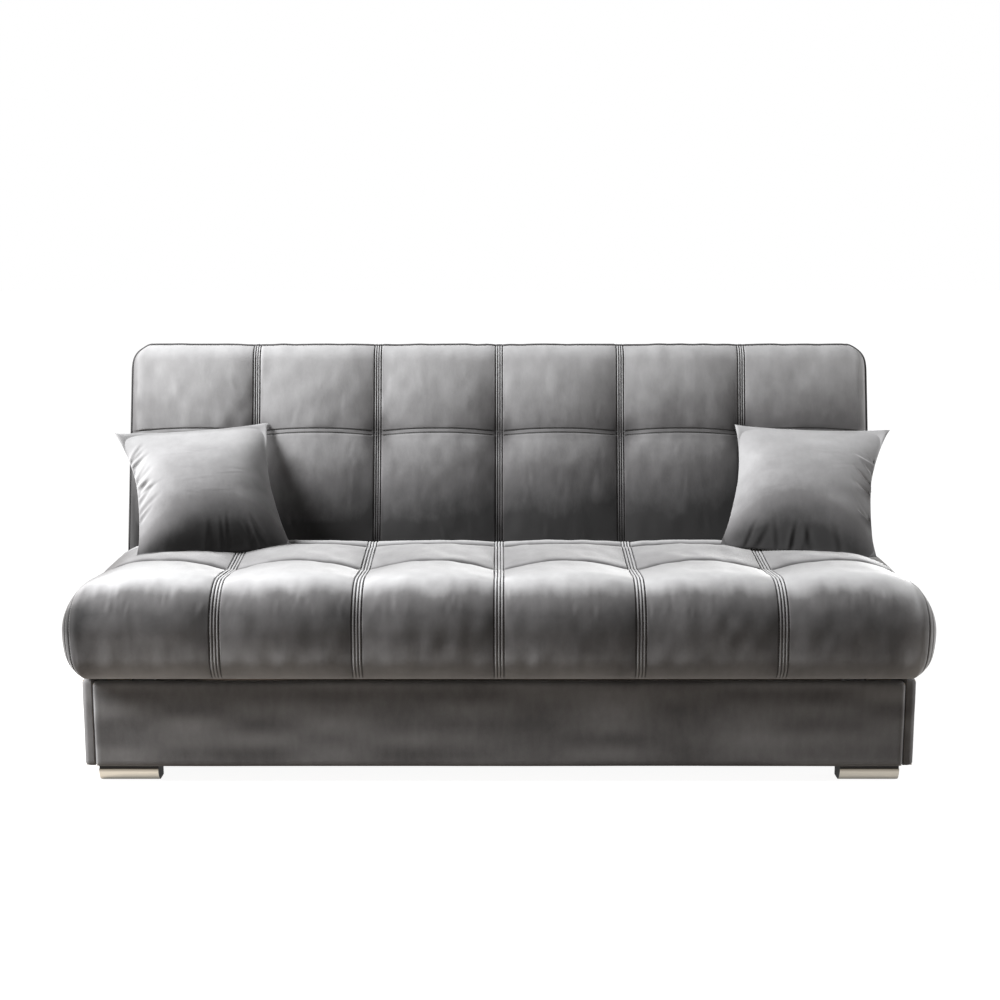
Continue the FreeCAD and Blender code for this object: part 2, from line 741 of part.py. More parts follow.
def screw_pattern():
    y = (FOOT_NOSE_RUN + FOOT_DEPTH) / 2
    return [Vector(-FOOT_SCREW_PITCH / 2, y, 0), Vector(FOOT_SCREW_PITCH / 2, y, 0)]


def set_foot(shape, x, edge):
    """Stands a foot drawn with its front at zero at one corner of the box."""
    y, facing = edge
    turned = shape.copy()
    if facing < 0:
        turned.rotate(Vector(0, 0, 0), UP, 180)
    turned.translate(Vector(x, y, 0))
    return turned


def foot_screw_points():
    points = []
    for x in (-FOOT_CENTRE, FOOT_CENTRE):
        for y, facing in foot_front_edges():
            points += [Vector(x + at.x, y + facing * at.y, 0) for at in screw_pattern()]
    return points


def foot_screws():
    screws = []
    for at in foot_screw_points():
        seat = Vector(at.x, at.y, FOOT_SCREW_RECESS)
        length = FOOT_HEIGHT - FOOT_SCREW_RECESS + BOLT_BITE
        screws.append(bolt(seat, UP, length, SCREW_RADIUS, SCREW_HEAD_RADIUS, SCREW_HEAD))
    return group(screws)


def pillow(size, thickness, edge):
    """Crowned square cushion, upright, with sides that pull in between its corners."""
    stations = [2 * index / (CUSHION_STATIONS - 1) - 1 for index in range(CUSHION_STATIONS)]

    def point(u, v, side):
        x = size / 2 * u * (1 - CUSHION_PULL * (1 - v * v))
        z = size / 2 * v * (1 - CUSHION_PULL * (1 - u * u))
        soft = (1 - u * u) * (1 - v * v)
        full = (1 - u ** 4) * (1 - v ** 4)
        return Vector(x, side * (edge + (thickness - edge) * (soft + full) / 2) / 2, z)

    faces = []
    rims = []
    for side in (-1, 1):
        surface = Part.BSplineSurface()
        surface.interpolate([[point(u, v, side) for v in stations] for u in stations])
        u0, u1, v0, v1 = surface.bounds()
        faces.append(surface.toShape())
        rims.append([surface.uIso(u0), surface.uIso(u1), surface.vIso(v0), surface.vIso(v1)])
    for front, rear in zip(*rims):
        faces.append(Part.makeRuledSurface(front.toShape(), rear.toShape()))
    shell = Part.makeShell(faces)
    shell.sewShape()
    solid = Part.makeSolid(shell)
    solid.fixTolerance(PLANE_TOLERANCE)
    return solid if solid.Volume > 0 else solid.reversed()


def leaning_place(x, yaw, seat, back):
    """Where a cushion lies with its lower edge on the seat and its top edge against the back."""
    turn = Rotation(UP, yaw).multiply(Rotation(ACROSS, -CUSHION_TILT))
    shape = pillow(CUSHION_SIZE, CUSHION_THICKNESS, CUSHION_EDGE)
    points = [turn.multVec(at) for at in shape.tessellate(CUSHION_FACETS)[0]]
    rows = []
    for half in (seat, back):
        normal = half.place.Rotation.multVec(half.top_normal())
        level = normal.dot(half.place.Base) + half.hinge_radius + CUSHION_CLEARANCE
        rows.append((normal.y, normal.z, level - min(normal.dot(at) for at in points)))
    (a, b, p), (c, d, q) = rows
    spread = a * d - b * c
    y = (p * d - b * q) / spread
    z = (a * q - p * c) / spread
    return Placement(Vector(x, y, z), turn)


def cushion_cover(place):
    outer = pillow(CUSHION_SIZE, CUSHION_THICKNESS, CUSHION_EDGE)
    shrink = 2 * CUSHION_COVER
    inner = pillow(CUSHION_SIZE - 2 * shrink, CUSHION_THICKNESS - shrink, CUSHION_EDGE - shrink)
    cover = outer.cut(inner)
    cover.Placement = place
    return cover


def cushion_filling(place):
    shrink = 2 * (CUSHION_COVER + FOAM_CLEARANCE)
    filling = pillow(CUSHION_SIZE - 2 * shrink, CUSHION_THICKNESS - shrink, CUSHION_EDGE - shrink)
    filling.Placement = place
    return filling


def box_nodes():
    pins = hinge_centres()
    side = side_board()
    cover = side_cover()
    plate = hinge_plate()
    nodes = {
        "front_board": front_board(),
        "front_cover": front_cover(),
        "side_board_left": mirrored(side),
        "side_board_right": side,
        "side_cover_left": mirrored(cover),
        "side_cover_right": cover,
        "rear_board": rear_board(),
        "floor_battens": floor_battens(),
        "box_floor": box_floor(),
        "corner_blocks": corner_blocks(),
        "box_bolts": box_bolts(),
        "foot_screws": foot_screws(),
        "hinge_plate_left": mirrored(plate),
        "hinge_plate_right": plate,
        "plate_bolts": both_sides([bolt(*placed) for placed in plate_bolt_places()]),
        "seat_pivot_pins": both_sides([pivot_pin(*pins[0])]),
        "back_pivot_pins": both_sides([pivot_pin(*pins[1])]),
        "hinge_washers": both_sides([hinge_washer(*pin) for pin in pins]),
    }
    trims = []
    for end, edge in zip(("front", "rear"), foot_front_edges()):
        for name, x in (("left", -FOOT_CENTRE), ("right", FOOT_CENTRE)):
            nodes[f"foot_{end}_{name}"] = set_foot(foot_body(), x, edge)
            trims.append(set_foot(foot_trim(), x, edge))
    nodes["foot_trims"] = group(trims)
    return nodes


def half_nodes(name, half, left_is_plain):
    """Every piece of one mattress half; the seat is turned about, which swaps its sides."""
    rail = end_rail(half)
    arm = hinge_arm(half)
    plain, turned = ("left", "right") if left_is_plain else ("right", "left")
    return {
        f"{name}_hinge_rail": long_rail(half, half.hinge_rail_y),
        f"{name}_free_rail": long_rail(half, half.free_rail_y - RAIL_THICKNESS),
        f"{name}_centre_rail": centre_rail(half),
        f"{name}_end_rail_{plain}": half.set(rail),
        f"{name}_end_rail_{turned}": half.set(mirrored(rail)),
        f"{name}_slats": slats(half),
        f"{name}_slat_holders": slat_holders(half),
        f"{name}_foam": foam_core(half),
        f"{name}_cover": quilted_cover(half),
        f"{name}_lining": underside_lining(half),
        f"{name}_hinge_arm_{plain}": half.set(arm),
        f"{name}_hinge_arm_{turned}": half.set(mirrored(arm)),
        f"{name}_arm_bolts": arm_bolts(half),
    }


def cushion_nodes(seat, back):
    nodes = {}
    places = {"left": (LEFT_CUSHION_X, CUSHION_YAW), "right": (RIGHT_CUSHION_X, -CUSHION_YAW)}
    for side, (x, yaw) in places.items():
        place = leaning_place(x, yaw, seat, back)
        nodes[f"cushion_cover_{side}"] = cushion_cover(place)
        nodes[f"cushion_filling_{side}"] = cushion_filling(place)
    return nodes


def main():
    seat = seat_half()
    back = back_half()
    nodes = box_nodes()
    nodes.update(half_nodes("seat", seat, True))
    nodes.update(half_nodes("back", back, False))
    nodes.update(cushion_nodes(seat, back))
    os.makedirs("parts", exist_ok=True)
    for name, shape in nodes.items():
        shape.exportStep(f"parts/{name}.step")


main()
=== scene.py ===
"""Looks of the armless sofa bed: quilted velour halves, scatter cushions, box, frames and hinges."""

import json
import math

import bpy
import numpy as np
from mathutils import Matrix, Vector
from mathutils.bvhtree import BVHTree


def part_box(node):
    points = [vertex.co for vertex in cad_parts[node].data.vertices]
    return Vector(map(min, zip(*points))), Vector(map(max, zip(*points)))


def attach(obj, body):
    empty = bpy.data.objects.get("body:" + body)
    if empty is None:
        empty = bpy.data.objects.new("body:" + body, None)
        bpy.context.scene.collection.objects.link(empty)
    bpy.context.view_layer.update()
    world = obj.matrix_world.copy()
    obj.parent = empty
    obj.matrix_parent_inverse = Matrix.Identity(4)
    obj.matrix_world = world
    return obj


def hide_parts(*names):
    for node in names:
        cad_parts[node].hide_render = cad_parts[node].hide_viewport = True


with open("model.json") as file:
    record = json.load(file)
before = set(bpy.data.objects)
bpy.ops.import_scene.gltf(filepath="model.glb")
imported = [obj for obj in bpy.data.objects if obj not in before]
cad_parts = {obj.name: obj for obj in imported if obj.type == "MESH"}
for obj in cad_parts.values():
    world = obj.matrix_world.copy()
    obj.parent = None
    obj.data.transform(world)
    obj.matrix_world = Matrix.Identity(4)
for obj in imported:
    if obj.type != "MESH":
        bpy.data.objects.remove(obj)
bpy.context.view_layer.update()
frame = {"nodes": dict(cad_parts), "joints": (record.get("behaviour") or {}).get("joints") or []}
nodes = frame["nodes"]
joint = {entry["name"]: entry for entry in frame["joints"]}

# Camera
CAMERA_PLACE = (0.0, -3.942, 1.250)
CAMERA_PITCH = math.radians(9.543)
CAMERA_LENS = 57.79
CAMERA_SENSOR = 36.0
CAMERA_SHIFT = (0.0009, 0.0010)

# Stage
WHITE = (1.0, 1.0, 1.0, 1.0)
BLACK = (0.0, 0.0, 0.0, 1.0)
FLOOR_CORNERS = ((-30, -12, 0), (30, -12, 0), (30, 30, 0), (-30, 30, 0))
FLOOR_SHADES = ((0.24, 0.238, 0.235), (0.27, 0.268, 0.265))
FLOOR_OVAL = (0.6, 1.0, 1.0)
FLOOR_FADE = (0.75, 1.4)
FLOOR_BOUNCE = (0.16, 0.14, 0.12, 1.0)
FLOOR_GLOW = (0.93, 0.93, 0.93, 1.0)
FLOOR_MIRRORED = 0.4
AMBIENT = 0.06
MIRRORED = 0.9

# Lights: place, target, size, power and colour
LIGHTS = {
    "key": ((-4.4, -0.8, 3.6), (0, -0.1, 0.45), (2.2, 2.2), 1060.0, (1.0, 1.0, 1.0)),
    "front": ((1.2, -4.6, 1.9), (0, 0, 0.4), (2.5, 1.6), 20.0, (1.0, 0.90, 0.80)),
    "left_rim": ((-3.4, -0.3, 0.7), (-0.9, -0.2, 0.4), (0.5, 1.2), 10.0, (1.0, 1.0, 1.0)),
    "right_rim": ((3.4, -0.1, 0.7), (0.9, -0.1, 0.4), (0.5, 1.2), 60.0, (1.0, 1.0, 1.0)),
}

# Velour
GREY_DARK = (0.097, 0.095, 0.097)
GREY_LIGHT = (0.455, 0.457, 0.464)
# Painted shade of the sewn lines, where they sink into the pile
SEAM_PAINTED_SHADE = (0.012, 0.011, 0.011, 1.0)

# Seams and sewn bands of both halves, in metres
COLUMN_SEAMS = (-0.636, -0.318, 0.0, 0.318, 0.636)
BAND_LINES = (-0.0108, -0.0036, 0.0036, 0.0108)
BACK_BAND_LINES = (-0.0087, -0.0029, 0.0029, 0.0087)
BAND_REACH = 0.0145
BAND_POWER = 8
LINE_WIDTH = 0.0013
LINE_DEPTH = 0.0028
RIDGE = 0.0009
END_SEAM = 0.012
END_SHARE = 0.45
END_LINES = (0.022, 0.036)
ROW_REACH = 0.010
ROW_HOLD = 0.6
CROWN_POWER = 2.2
DEEPEST = 0.0165
SHAPE_BLEND = 0.018
SHAPE_BLEND_STEPS = 7

# How far round the outline seams are sewn and the cloth is free, by how much its face looks up
SEWN_FROM = (-0.98, -0.7)
STITCHED_FROM = -0.75
HELD_BELOW = -0.6

# Painted light and shade on the pile, as tone values: a painted highlight on the bands, painted shade
# beside the seams and where rows cross them, painted light over the right end and painted shade over the
# left, a plain tone on the end faces, and random patches of brushing
PAINTED_RIDGE_LIGHT = 0.13
PAINTED_LEE_SHADE = 0.16
PAINTED_LEE_REACH = 0.035
PAINTED_END_LIGHT = 0.36
END_FACE_TONE = -0.06
END_FACE_SPAN = (0.4, 1.4)
PAINTED_PINCH_SHADE = 0.24
PAINTED_PINCH_REACH = (0.035, 0.045)
BRUSHED_TONE = 0.045

# Random layers in the pile: seed, size and share
CLOUD_TABLE = 64
LAYER_SHIFT = 30
RAGGED_LAYERS = ((13, (0.013, 0.05), 0.4), (14, (0.045, 0.035), 0.6))
BRUSHED_LAYERS = ((11, (0.09, 0.07), 0.6), (12, (0.025, 0.03), 0.4))

# Fineness of the quilting
GRID_STEP = 0.009
RUN_STEP = 0.008
ACROSS_STEP = 0.004
FINE_STEP = 0.0013
FINE_REACH = 0.016
FINE_GROWTH = 0.35
END_ROUND_STEPS = (9, 44)
END_FACE_STEPS = 7

# Cloth simulation of the quilting and the cushions
SIMULATED_FRAMES = 20
CLOTH_QUALITY = 6
CLOTH_MASS = 0.2
QUILT_CLOTH = {"pressure": 1.5, "growth": 0.02, "stiffness": 12.0, "bending": 0.6, "cap": 0.005}
CUSHION_CLOTH = {"pressure": 1.5, "growth": 0.004, "stiffness": 15.0, "bending": 0.5, "cap": 0.005}
QUILT_RIPPLE = 0.0012
QUILT_RIPPLE_SIZE = (0.03, 0.045)
QUILT_RIPPLE_SEED = 5

# Small folds of the halves: seed, count, and spans of lean, length, width and depth
SEAT_FOLDS = (71, 70, (-0.2, 0.2), (0.012, 0.026), (0.003, 0.006), (0.0002, 0.0008))
BACK_UPPER_FOLDS = (73, 26, (-0.5, 0.5), (0.02, 0.05), (0.004, 0.007), (0.0001, 0.0004))
BACK_LOWER_FOLDS = (74, 44, (-0.45, 0.45), (0.02, 0.05), (0.004, 0.007), (0.0002, 0.0006))

# Seat
SEAT_SWING = math.radians(45.0)
SEAT_NOSE_TOP_RADIUS = 0.112
SEAT_NOSE_UNDER_RADIUS = 0.062
SEAT_NOSE_HEIGHT = 0.228
SEAT_ROWS = (0.262, 0.466)
SEAT_ROW_DEPTH = 0.008
SEAT_ROW_WIDTH = 0.009
SEAT_RECESS = (-0.046, 0.364)
SEAT_END_ROUND = 0.045
SEAT_END_WIDE = 0.15
SEAT_END_DROPS = (0.095, 0.048)
SEAT_END_SHADE = 0.06
SEAT_LOWER_CORNER = (0.05, 0.11)
SEAT_RAGGED = 0.016

# Back
BACK_SWING = math.radians(75.5)
BACK_LEAN = math.radians(14.5)
BACK_TOP_FRONT_RADIUS = 0.050
BACK_TOP_REAR_RADIUS = 0.040
BACK_REACH = 0.592
BACK_HINGE_RADIUS = 0.095
BACK_ROW = 0.245
BACK_ROW_DEPTH = 0.004
BACK_ROW_LINE = 0.0055
BACK_ROW_ARCH = -0.007
BACK_UPPER_CORNER = (0.068, 0.068)
BACK_RECESS = (-0.032, 0.531)
BACK_END_ROUND = 0.034
BACK_RAGGED = 0.012

# Open underside of both halves
RECESS_HALF_WIDTH = 0.923
RECESS_FROM = 0.6
SLOT_X = (0.905, 0.935)
SLOT_RADIUS = 0.037

# Cushions
CUSHION_SIZE = 0.388
CUSHION_THICKNESS = 0.136
CUSHION_OUTER_PULL = 0.17
CUSHION_INNER_PULL = 0.13
CUSHION_TOP_PULL = 0.05
CUSHION_BELLY = 0.30
CUSHION_SOFT_SHARE = 0.35
CUSHION_SPREAD = 1.04
CUSHION_TILT = math.radians(45.0)
CUSHION_YAW = math.radians(17.0)
CUSHION_GRID = 52
CUSHION_SMOOTHING = 2
CUSHION_REST = 0.0006
CUSHION_RISE = 0.1846
CUSHION_CORNERS = {
    "left": {
        (-1, 1): (-0.012, -0.004), (1, 1): (-0.005, 0.014),
        (-1, -1): (0.012, 0.004), (1, -1): (0.002, 0.013),
    },
    "right": {
        (-1, 1): (0.003, 0.006), (1, 1): (0.010, 0.008),
        (-1, -1): (0.015, 0.022), (1, -1): (0.007, 0.008),
    },
}

# Folds of the cushions and the light painted on them: counts and spans of folds, then the painted shade
# over the height, darker low down
CUSHION_SEEDS = {"left": 61, "right": 64}
GATHERED_FOLDS = (14, (-0.55, 0.5), (0.2, 0.8), (0.05, 0.09), (0.004, 0.006), (0.0015, 0.0032))
LOWER_FOLDS = (9, (-0.75, 0.75), (-0.35, 0.35), (0.06, 0.10), (0.005, 0.008), (0.0006, 0.0016))
LOWER_FOLD_FAN = 0.5
FINE_FOLDS = (12, (-0.6, 0.7), (-0.3, 0.5), (-0.3, 0.3), (0.04, 0.08), (0.003, 0.005), (0.0001, 0.0003))
FOLD_FREE_SEAM = 0.05
PAINTED_FOLD_LIGHT = 20
CUSHION_PAINTED_SHADE = ((-0.85, -0.56), (-0.6, -0.40), (-0.25, -0.15), (0.15, -0.02), (0.7, 0.05))
CUSHION_PAINTED_SHADE_BOW = 0.45
CUSHION_PATCH_TONE = 0.04
CUSHION_PATCHES = (4, 6)
CUSHION_PATCH_SEED = 31
CUSHION_PATCH_SHIFT = 9

# Piping and stitches
PIPING_RADIUS = 0.0026
PIPING_SIDES = 8
PIPING_STEP = 0.004
PIPING_SUNK = 0.5
PIPING_TURN = 0.80
PIPING_TOP = 0.3
PIPING_END = 0.030
PIPING_FOOT = 0.02
PIPING_TONE = -0.28
THREAD_LIFT = 0.0002
STITCH_SIZES = {"Pitch": 0.0062, "Length": 0.0044, "Radius": 0.0006}

# Wrapped panels and linings
PANEL_GRID = 0.008
PANEL_ROUND = 0.008
PANEL_WAVE = 0.0005
PANEL_WAVE_SIZE = (0.12, 0.05)
PANEL_WAVE_SHIFT = 30
# Painted shade: the whole panel's pile is painted darker than the halves
PANEL_PAINTED_SHADE = -0.11
PANEL_PATCH_TONE = 0.10
PANEL_PATCH_SIZE = (0.16, 0.035)
PANEL_PATCH_SHIFT = 9
PANEL_FOLD = 0.03
PANEL_FOLD_LIFT = 0.0006
PANEL_JOIN = 0.00005
LINING_GRID = (150, 44)
LINING_DEPTH = 0.0008
LINING_RIPPLE = 0.0009
LINING_RIPPLE_SIZE = (0.06, 0.05)
LINING_RIPPLE_SEED = 41
LINING_RIPPLE_SHIFT = 20
LINING_EDGE = 0.02
SLOT_LINING = 0.09


class Term:
    """One value in a material's node tree, with arithmetic."""

    def __init__(self, tree, socket=None):
        self.tree = tree
        self.socket = socket

    def feed(self, target, value):
        """Links a term to a socket, or sets the socket's own value."""
        if isinstance(value, Term):
            self.tree.links.new(value.socket, target)
        else:
            target.default_value = value

    def node(self, kind, settings=None, output=0, **inputs):
        """Adds a node, sets it up, links or sets its sockets, and gives one of its outputs."""
        made = self.tree.nodes.new(kind)
        for name, value in (settings or {}).items():
            if name == "stops":
                set_stops(made.color_ramp, value)
            else:
                setattr(made, name, value)
        for name, value in inputs.items():
            key = int(name[1:]) if name[0] == "_" else name.replace("_", " ")
            self.feed(made.inputs[key], value)
        return Term(self.tree, made.outputs[output])

    def math(self, operation, first, second):
        return self.node("ShaderNodeMath", {"operation": operation}, _0=first, _1=second)

    def __add__(self, other):
        return self.math("ADD", self, other)

    def __radd__(self, other):
        return self.math("ADD", other, self)

    def __sub__(self, other):
        return self.math("SUBTRACT", self, other)

    def __rsub__(self, other):
        return self.math("SUBTRACT", other, self)

    def __mul__(self, other):
        return self.math("MULTIPLY", self, other)

    def __rmul__(self, other):
        return self.math("MULTIPLY", other, self)

    def ramp(self, *stops):
        return self.node("ShaderNodeValToRGB", {"stops": stops}, Fac=self)


def set_stops(ramp, stops):
    while len(ramp.elements) < len(stops):
        ramp.elements.new(1.0)
    for element, (place, shade) in zip(ramp.elements, stops):
        element.position = place
        element.color = (*shade, 1.0) if hasattr(shade, "__len__") else (shade, shade, shade, 1.0)


def material(name, build, **constants):
    """A material whose shader gets its colour, roughness, normal and painted seam shade (a dark shader
    mixed in) from a build function.
    """
    made = bpy.data.materials.new(name)
    made.use_nodes = True
    tree = made.node_tree
    shader = tree.nodes["Principled BSDF"]
    for key, value in constants.items():
        shader.inputs[key.replace("_", " ")].default_value = value
    start = Term(tree)
    place = start.node("ShaderNodeTexCoord", output="Object")
    parts = build(start, place)
    seam = parts.pop("Seam", None)
    for key, value in parts.items():
        start.feed(shader.inputs[key], value)
    # Painted shade in the sewn lines: a dark shader without sheen, mixed in by the seam mask
    if seam:
        sunk = start.node(
            "ShaderNodeBsdfPrincipled", Base_Color=SEAM_PAINTED_SHADE, Roughness=0.9, Specular_IOR_Level=0.1,
        )
        both = start.node("ShaderNodeMixShader", _0=seam, _1=Term(tree, shader.outputs[0]), _2=sunk)
        tree.links.new(both.socket, tree.nodes["Material Output"].inputs["Surface"])
    return made


def stretched(start, place, scale):
    return start.node("ShaderNodeMapping", Vector=place, Scale=scale)


def noise(start, vector, scale, detail=3.0, rough=0.55):
    return start.node("ShaderNodeTexNoise", Vector=vector, Scale=scale, Detail=detail, Roughness=rough)


def bump(start, height, distance, strength):
    return start.node("ShaderNodeBump", Height=height, Distance=distance, Strength=strength)


def mixed(start, share, first, second):
    return start.node("ShaderNodeMixRGB", Fac=share, Color1=first, Color2=second)


def drawn_out(scale, axis, along):
    """Scales of a pattern that is drawn out along one axis."""
    scales = [scale, scale, scale]
    scales[axis] = along
    return scales


def surfaced(start, tone, stops, rough, relief, depth, strength=0.5):
    """What a plain finish gives its shader: a toned colour, a roughness and a fine relief."""
    return {
        "Base Color": tone.ramp(*stops),
        "Roughness": rough,
        "Normal": bump(start, relief, depth, strength),
    }


def velour(name, dark, light):
    """Short pile laid one way by brushing: random patches where the pile lies differently, painted light
    and shade read from the mesh, painted shade in the sewn lines, a fine relief and soft sheen.
    """

    def build(start, place):
        # Painted light and shade, with plain tone, stored on each mesh
        nap = start.node("ShaderNodeAttribute", {"attribute_name": "nap"}, output="Fac")
        crease = start.node("ShaderNodeAttribute", {"attribute_name": "crease"}, output="Fac")
        patches = noise(start, place, 12.0, 5.0, 0.66)
        streaks = noise(start, stretched(start, place, (60.0, 40.0, 22.0)), 1.0, 4.0, 0.6)
        pile = noise(start, place, 1500.0, 2.0, 0.7)
        tone = nap + patches * 0.15 + streaks * 0.09 + pile * 0.12 + 0.32
        height = pile * 0.6 + noise(start, place, 320.0, 3.0) * 0.4
        # Colour of the pile from random patches and from the painted light and shade
        pile_colour_and_painted_light = tone.ramp((0.0, [0.2 * value for value in dark]), (0.30, dark), (0.95, light))
        return {
            # Painted shade in the sewn lines: their colour is mixed towards the dark seam colour, and below
            # a dark shader is mixed in
            "Base Color": mixed(start, crease * 0.8, pile_colour_and_painted_light, SEAM_PAINTED_SHADE),
            "Roughness": 0.78 + patches * 0.2,
            "Normal": bump(start, height, 0.0006, 0.5),
            "Seam": crease * 0.54,
        }

    return material(name, build, Sheen_Weight=0.5, Sheen_Roughness=0.4, Specular_IOR_Level=0.15)


def timber(name, axis, dark, light):
    """Planed wood with its grain along one axis."""

    def build(start, place):
        scale = drawn_out(90.0, axis, 90.0 / 22.0)
        fibre = noise(start, stretched(start, place, scale), 1.0, 5.0, 0.6)
        bands = noise(start, stretched(start, place, [value / 6.0 for value in scale]), 1.0, 2.0)
        tone = fibre * 0.5 + bands * 0.5
        return surfaced(start, tone, ((0.32, dark), (0.68, light)), 0.5 + fibre * 0.3, fibre, 0.0004)

    return material(name, build)


def pressed_board(name, dark, light, scale):
    """Board of pressed chips or fibres."""

    def build(start, place):
        chips = start.node("ShaderNodeTexVoronoi", Vector=place, Scale=scale)
        tone = chips * 0.6 + noise(start, place, 14.0) * 0.5
        return surfaced(start, tone, ((0.25, dark), (0.8, light)), 0.6 + chips * 0.3, chips, 0.0003, 0.4)

    return material(name, build)


def metal(name, dark, light, rough, axis=0, metallic=1.0):
    """Drawn or plated metal with fine marks along one axis and a little wear."""

    def build(start, place):
        marks = noise(start, stretched(start, place, drawn_out(900.0, axis, 12.0)), 1.0)
        wear = noise(start, place, 30.0, 4.0)
        tone = marks * 0.5 + wear * 0.5
        stops = ((0.3, dark), (0.7, light))
        return surfaced(start, tone, stops, rough + wear * 0.16, marks, 0.00008, 0.6)

    return material(name, build, Metallic=metallic)


def satin_strip(name, node, dark, light):
    """Satin metal bent round a foot, with a painted reflection: the bright and dark bands a bent strip
    shows over its height are painted into its colour.
    """
    low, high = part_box(node)

    def build(start, place):
        height = start.node("ShaderNodeSeparateXYZ", output="Z", Vector=place)
        marks = noise(start, stretched(start, place, drawn_out(12.0, 2, 900.0)), 1.0)
        # Painted reflection: dark at the foot and top of the strip, bright across its middle and upper part
        share = (height - low.z) * (1.0 / (high.z - low.z)) + (marks - 0.5) * 0.12
        stops = ((0.0, dark), (0.45, light), (0.75, light), (1.0, dark))
        return surfaced(start, share, stops, 0.26 + marks * 0.1, marks, 0.00008, 0.6)

    return material(name, build, Metallic=1.0)


def moulded(name, dark, light):
    """Moulded black plastic with a fine spark-eroded grain."""

    def build(start, place):
        grain = noise(start, place, 1400.0, 2.0)
        cloud = noise(start, place, 22.0)
        tone = grain * 0.4 + cloud * 0.6
        return surfaced(start, tone, ((0.3, dark), (0.7, light)), 0.45 + cloud * 0.25, grain, 0.0002)

    return material(name, build)


def non_woven(name, dark, light):
    """Thin spun lining, point-bonded in a small regular pattern."""

    def build(start, place):
        bond = start.node("ShaderNodeTexVoronoi", Vector=place, Scale=380.0, Randomness=0.25)
        fibre = noise(start, place, 700.0)
        tone = bond * 0.5 + fibre * 0.5
        return surfaced(start, tone, ((0.25, dark), (0.75, light)), 0.8 + fibre * 0.15, bond, 0.0004)

    return material(name, build)


def thread(name, dark, light):
    """Twisted sewing thread."""

    def build(start, place):
        twist = noise(start, place, 1200.0, 2.0)
        return surfaced(start, twist, ((0.3, dark), (0.7, light)), 0.6 + twist * 0.2, twist, 0.0002, 0.6)

    return material(name, build)


class Outline:
    """Closed outline of a belt round three circles, read by the run along it."""

    ARC_STEPS = 90

    def __init__(self, circles):
        tangents = []
        for (a0, b0, r0), (a1, b1, r1) in zip(circles, circles[1:] + circles[:1]):
            heading = math.atan2(b1 - b0, a1 - a0)
            tangents.append(heading - math.acos((r0 - r1) / math.hypot(a1 - a0, b1 - b0)))
        points = []
        normals = []
        for index in (1, 2, 0):
            start, end = tangents[index - 1], tangents[index]
            end += 2 * math.pi * math.ceil((start - end) / (2 * math.pi))
            angles = np.linspace(start, end, self.ARC_STEPS)
            rim = np.stack([np.cos(angles), np.sin(angles)], 1)
            a, b, radius = circles[index]
            points.append(rim * radius + (a, b))
            normals.append(rim)
        self.points = np.concatenate(points + [points[0][:1]])
        self.normals = np.concatenate(normals + [normals[0][:1]])
        steps = np.hypot(*np.diff(self.points, axis=0).T)
        self.run = np.concatenate([[0.0], np.cumsum(steps)])
        self.length = self.run[-1]
        self.circles = circles

    def at(self, run):
        """Points and outward normals at runs along the outline."""
        run = np.mod(run, self.length)
        point = np.stack([np.interp(run, self.run, self.points[:, k]) for k in (0, 1)], -1)
        normal = np.stack([np.interp(run, self.run, self.normals[:, k]) for k in (0, 1)], -1)
        return point, normal / np.linalg.norm(normal, axis=-1, keepdims=True)

    def run_at(self, a):
        """Run where the upper face passes a distance from the hinge centre."""
        upper = np.flatnonzero((self.points[:, 1] > 0) & (self.normals[:, 1] > 0.5))
        order = upper[np.argsort(self.points[upper, 0])]
        return float(np.interp(a, self.points[order, 0], self.run[order]))

    def medial(self, point):
        """Nearest points on the line between the middles of the two ends."""
        near = np.array(self.circles[0][:2])
        far = (np.array(self.circles[1][:2]) + np.array(self.circles[2][:2])) / 2
        along = far - near
        share = np.clip(((point - near) @ along) / (along @ along), 0, 1)
        return near + share[..., None] * along


def smooth(low, high, value):
    share = np.clip((value - low) / (high - low), 0, 1)
    return share * share * (3 - 2 * share)


def clouds(u, v, seed, size=(1.0, 1.0), shift=0):
    """Soft random values from -1 to 1 over two coordinates, the same on each run."""
    table = np.random.default_rng(seed).uniform(-1, 1, (CLOUD_TABLE, CLOUD_TABLE))
    u, v = u / size[0] + shift, v / size[1] + shift
    iu, iv = np.floor(u).astype(int), np.floor(v).astype(int)
    fu, fv = smooth(0, 1, u - iu), smooth(0, 1, v - iv)

    def corner(du, dv):
        return table[(iu + du) % CLOUD_TABLE, (iv + dv) % CLOUD_TABLE]

    near = corner(0, 0) * (1 - fu) + corner(1, 0) * fu
    far = corner(0, 1) * (1 - fu) + corner(1, 1) * fu
    return near * (1 - fv) + far * fv


def layered(u, v, layers):
    """Layers of soft random values, each with its seed, size and share."""
    return sum(share * clouds(u, v, seed, size, LAYER_SHIFT) for seed, size, share in layers)


def resampled(field, places, axis, closed):
    """A field read at fractional places along one axis, on a smooth curve through its values."""
    count = field.shape[axis]
    base = np.floor(places).astype(int)
    t = places - base
    weights = (
        -0.5 * t + t ** 2 - 0.5 * t ** 3,
        1 - 2.5 * t ** 2 + 1.5 * t ** 3,
        0.5 * t + 2 * t ** 2 - 1.5 * t ** 3,
        -0.5 * t ** 2 + 0.5 * t ** 3,
    )
    shape = [1] * field.ndim
    shape[axis] = len(places)
    total = 0.0
    for offset, weight in zip((-1, 0, 1, 2), weights):
        index = (base + offset) % count if closed else np.clip(base + offset, 0, count - 1)
        total = total + np.take(field, index, axis) * weight.reshape(shape)
    return total


def placed(name, data):
    """An object of the given data, set in the scene."""
    made = bpy.data.objects.new(name, data)
    bpy.context.scene.collection.objects.link(made)
    return made


def smooth_shaded(mesh):
    mesh.polygons.foreach_set("use_smooth", [True] * len(mesh.polygons))
    mesh.update()
    return mesh


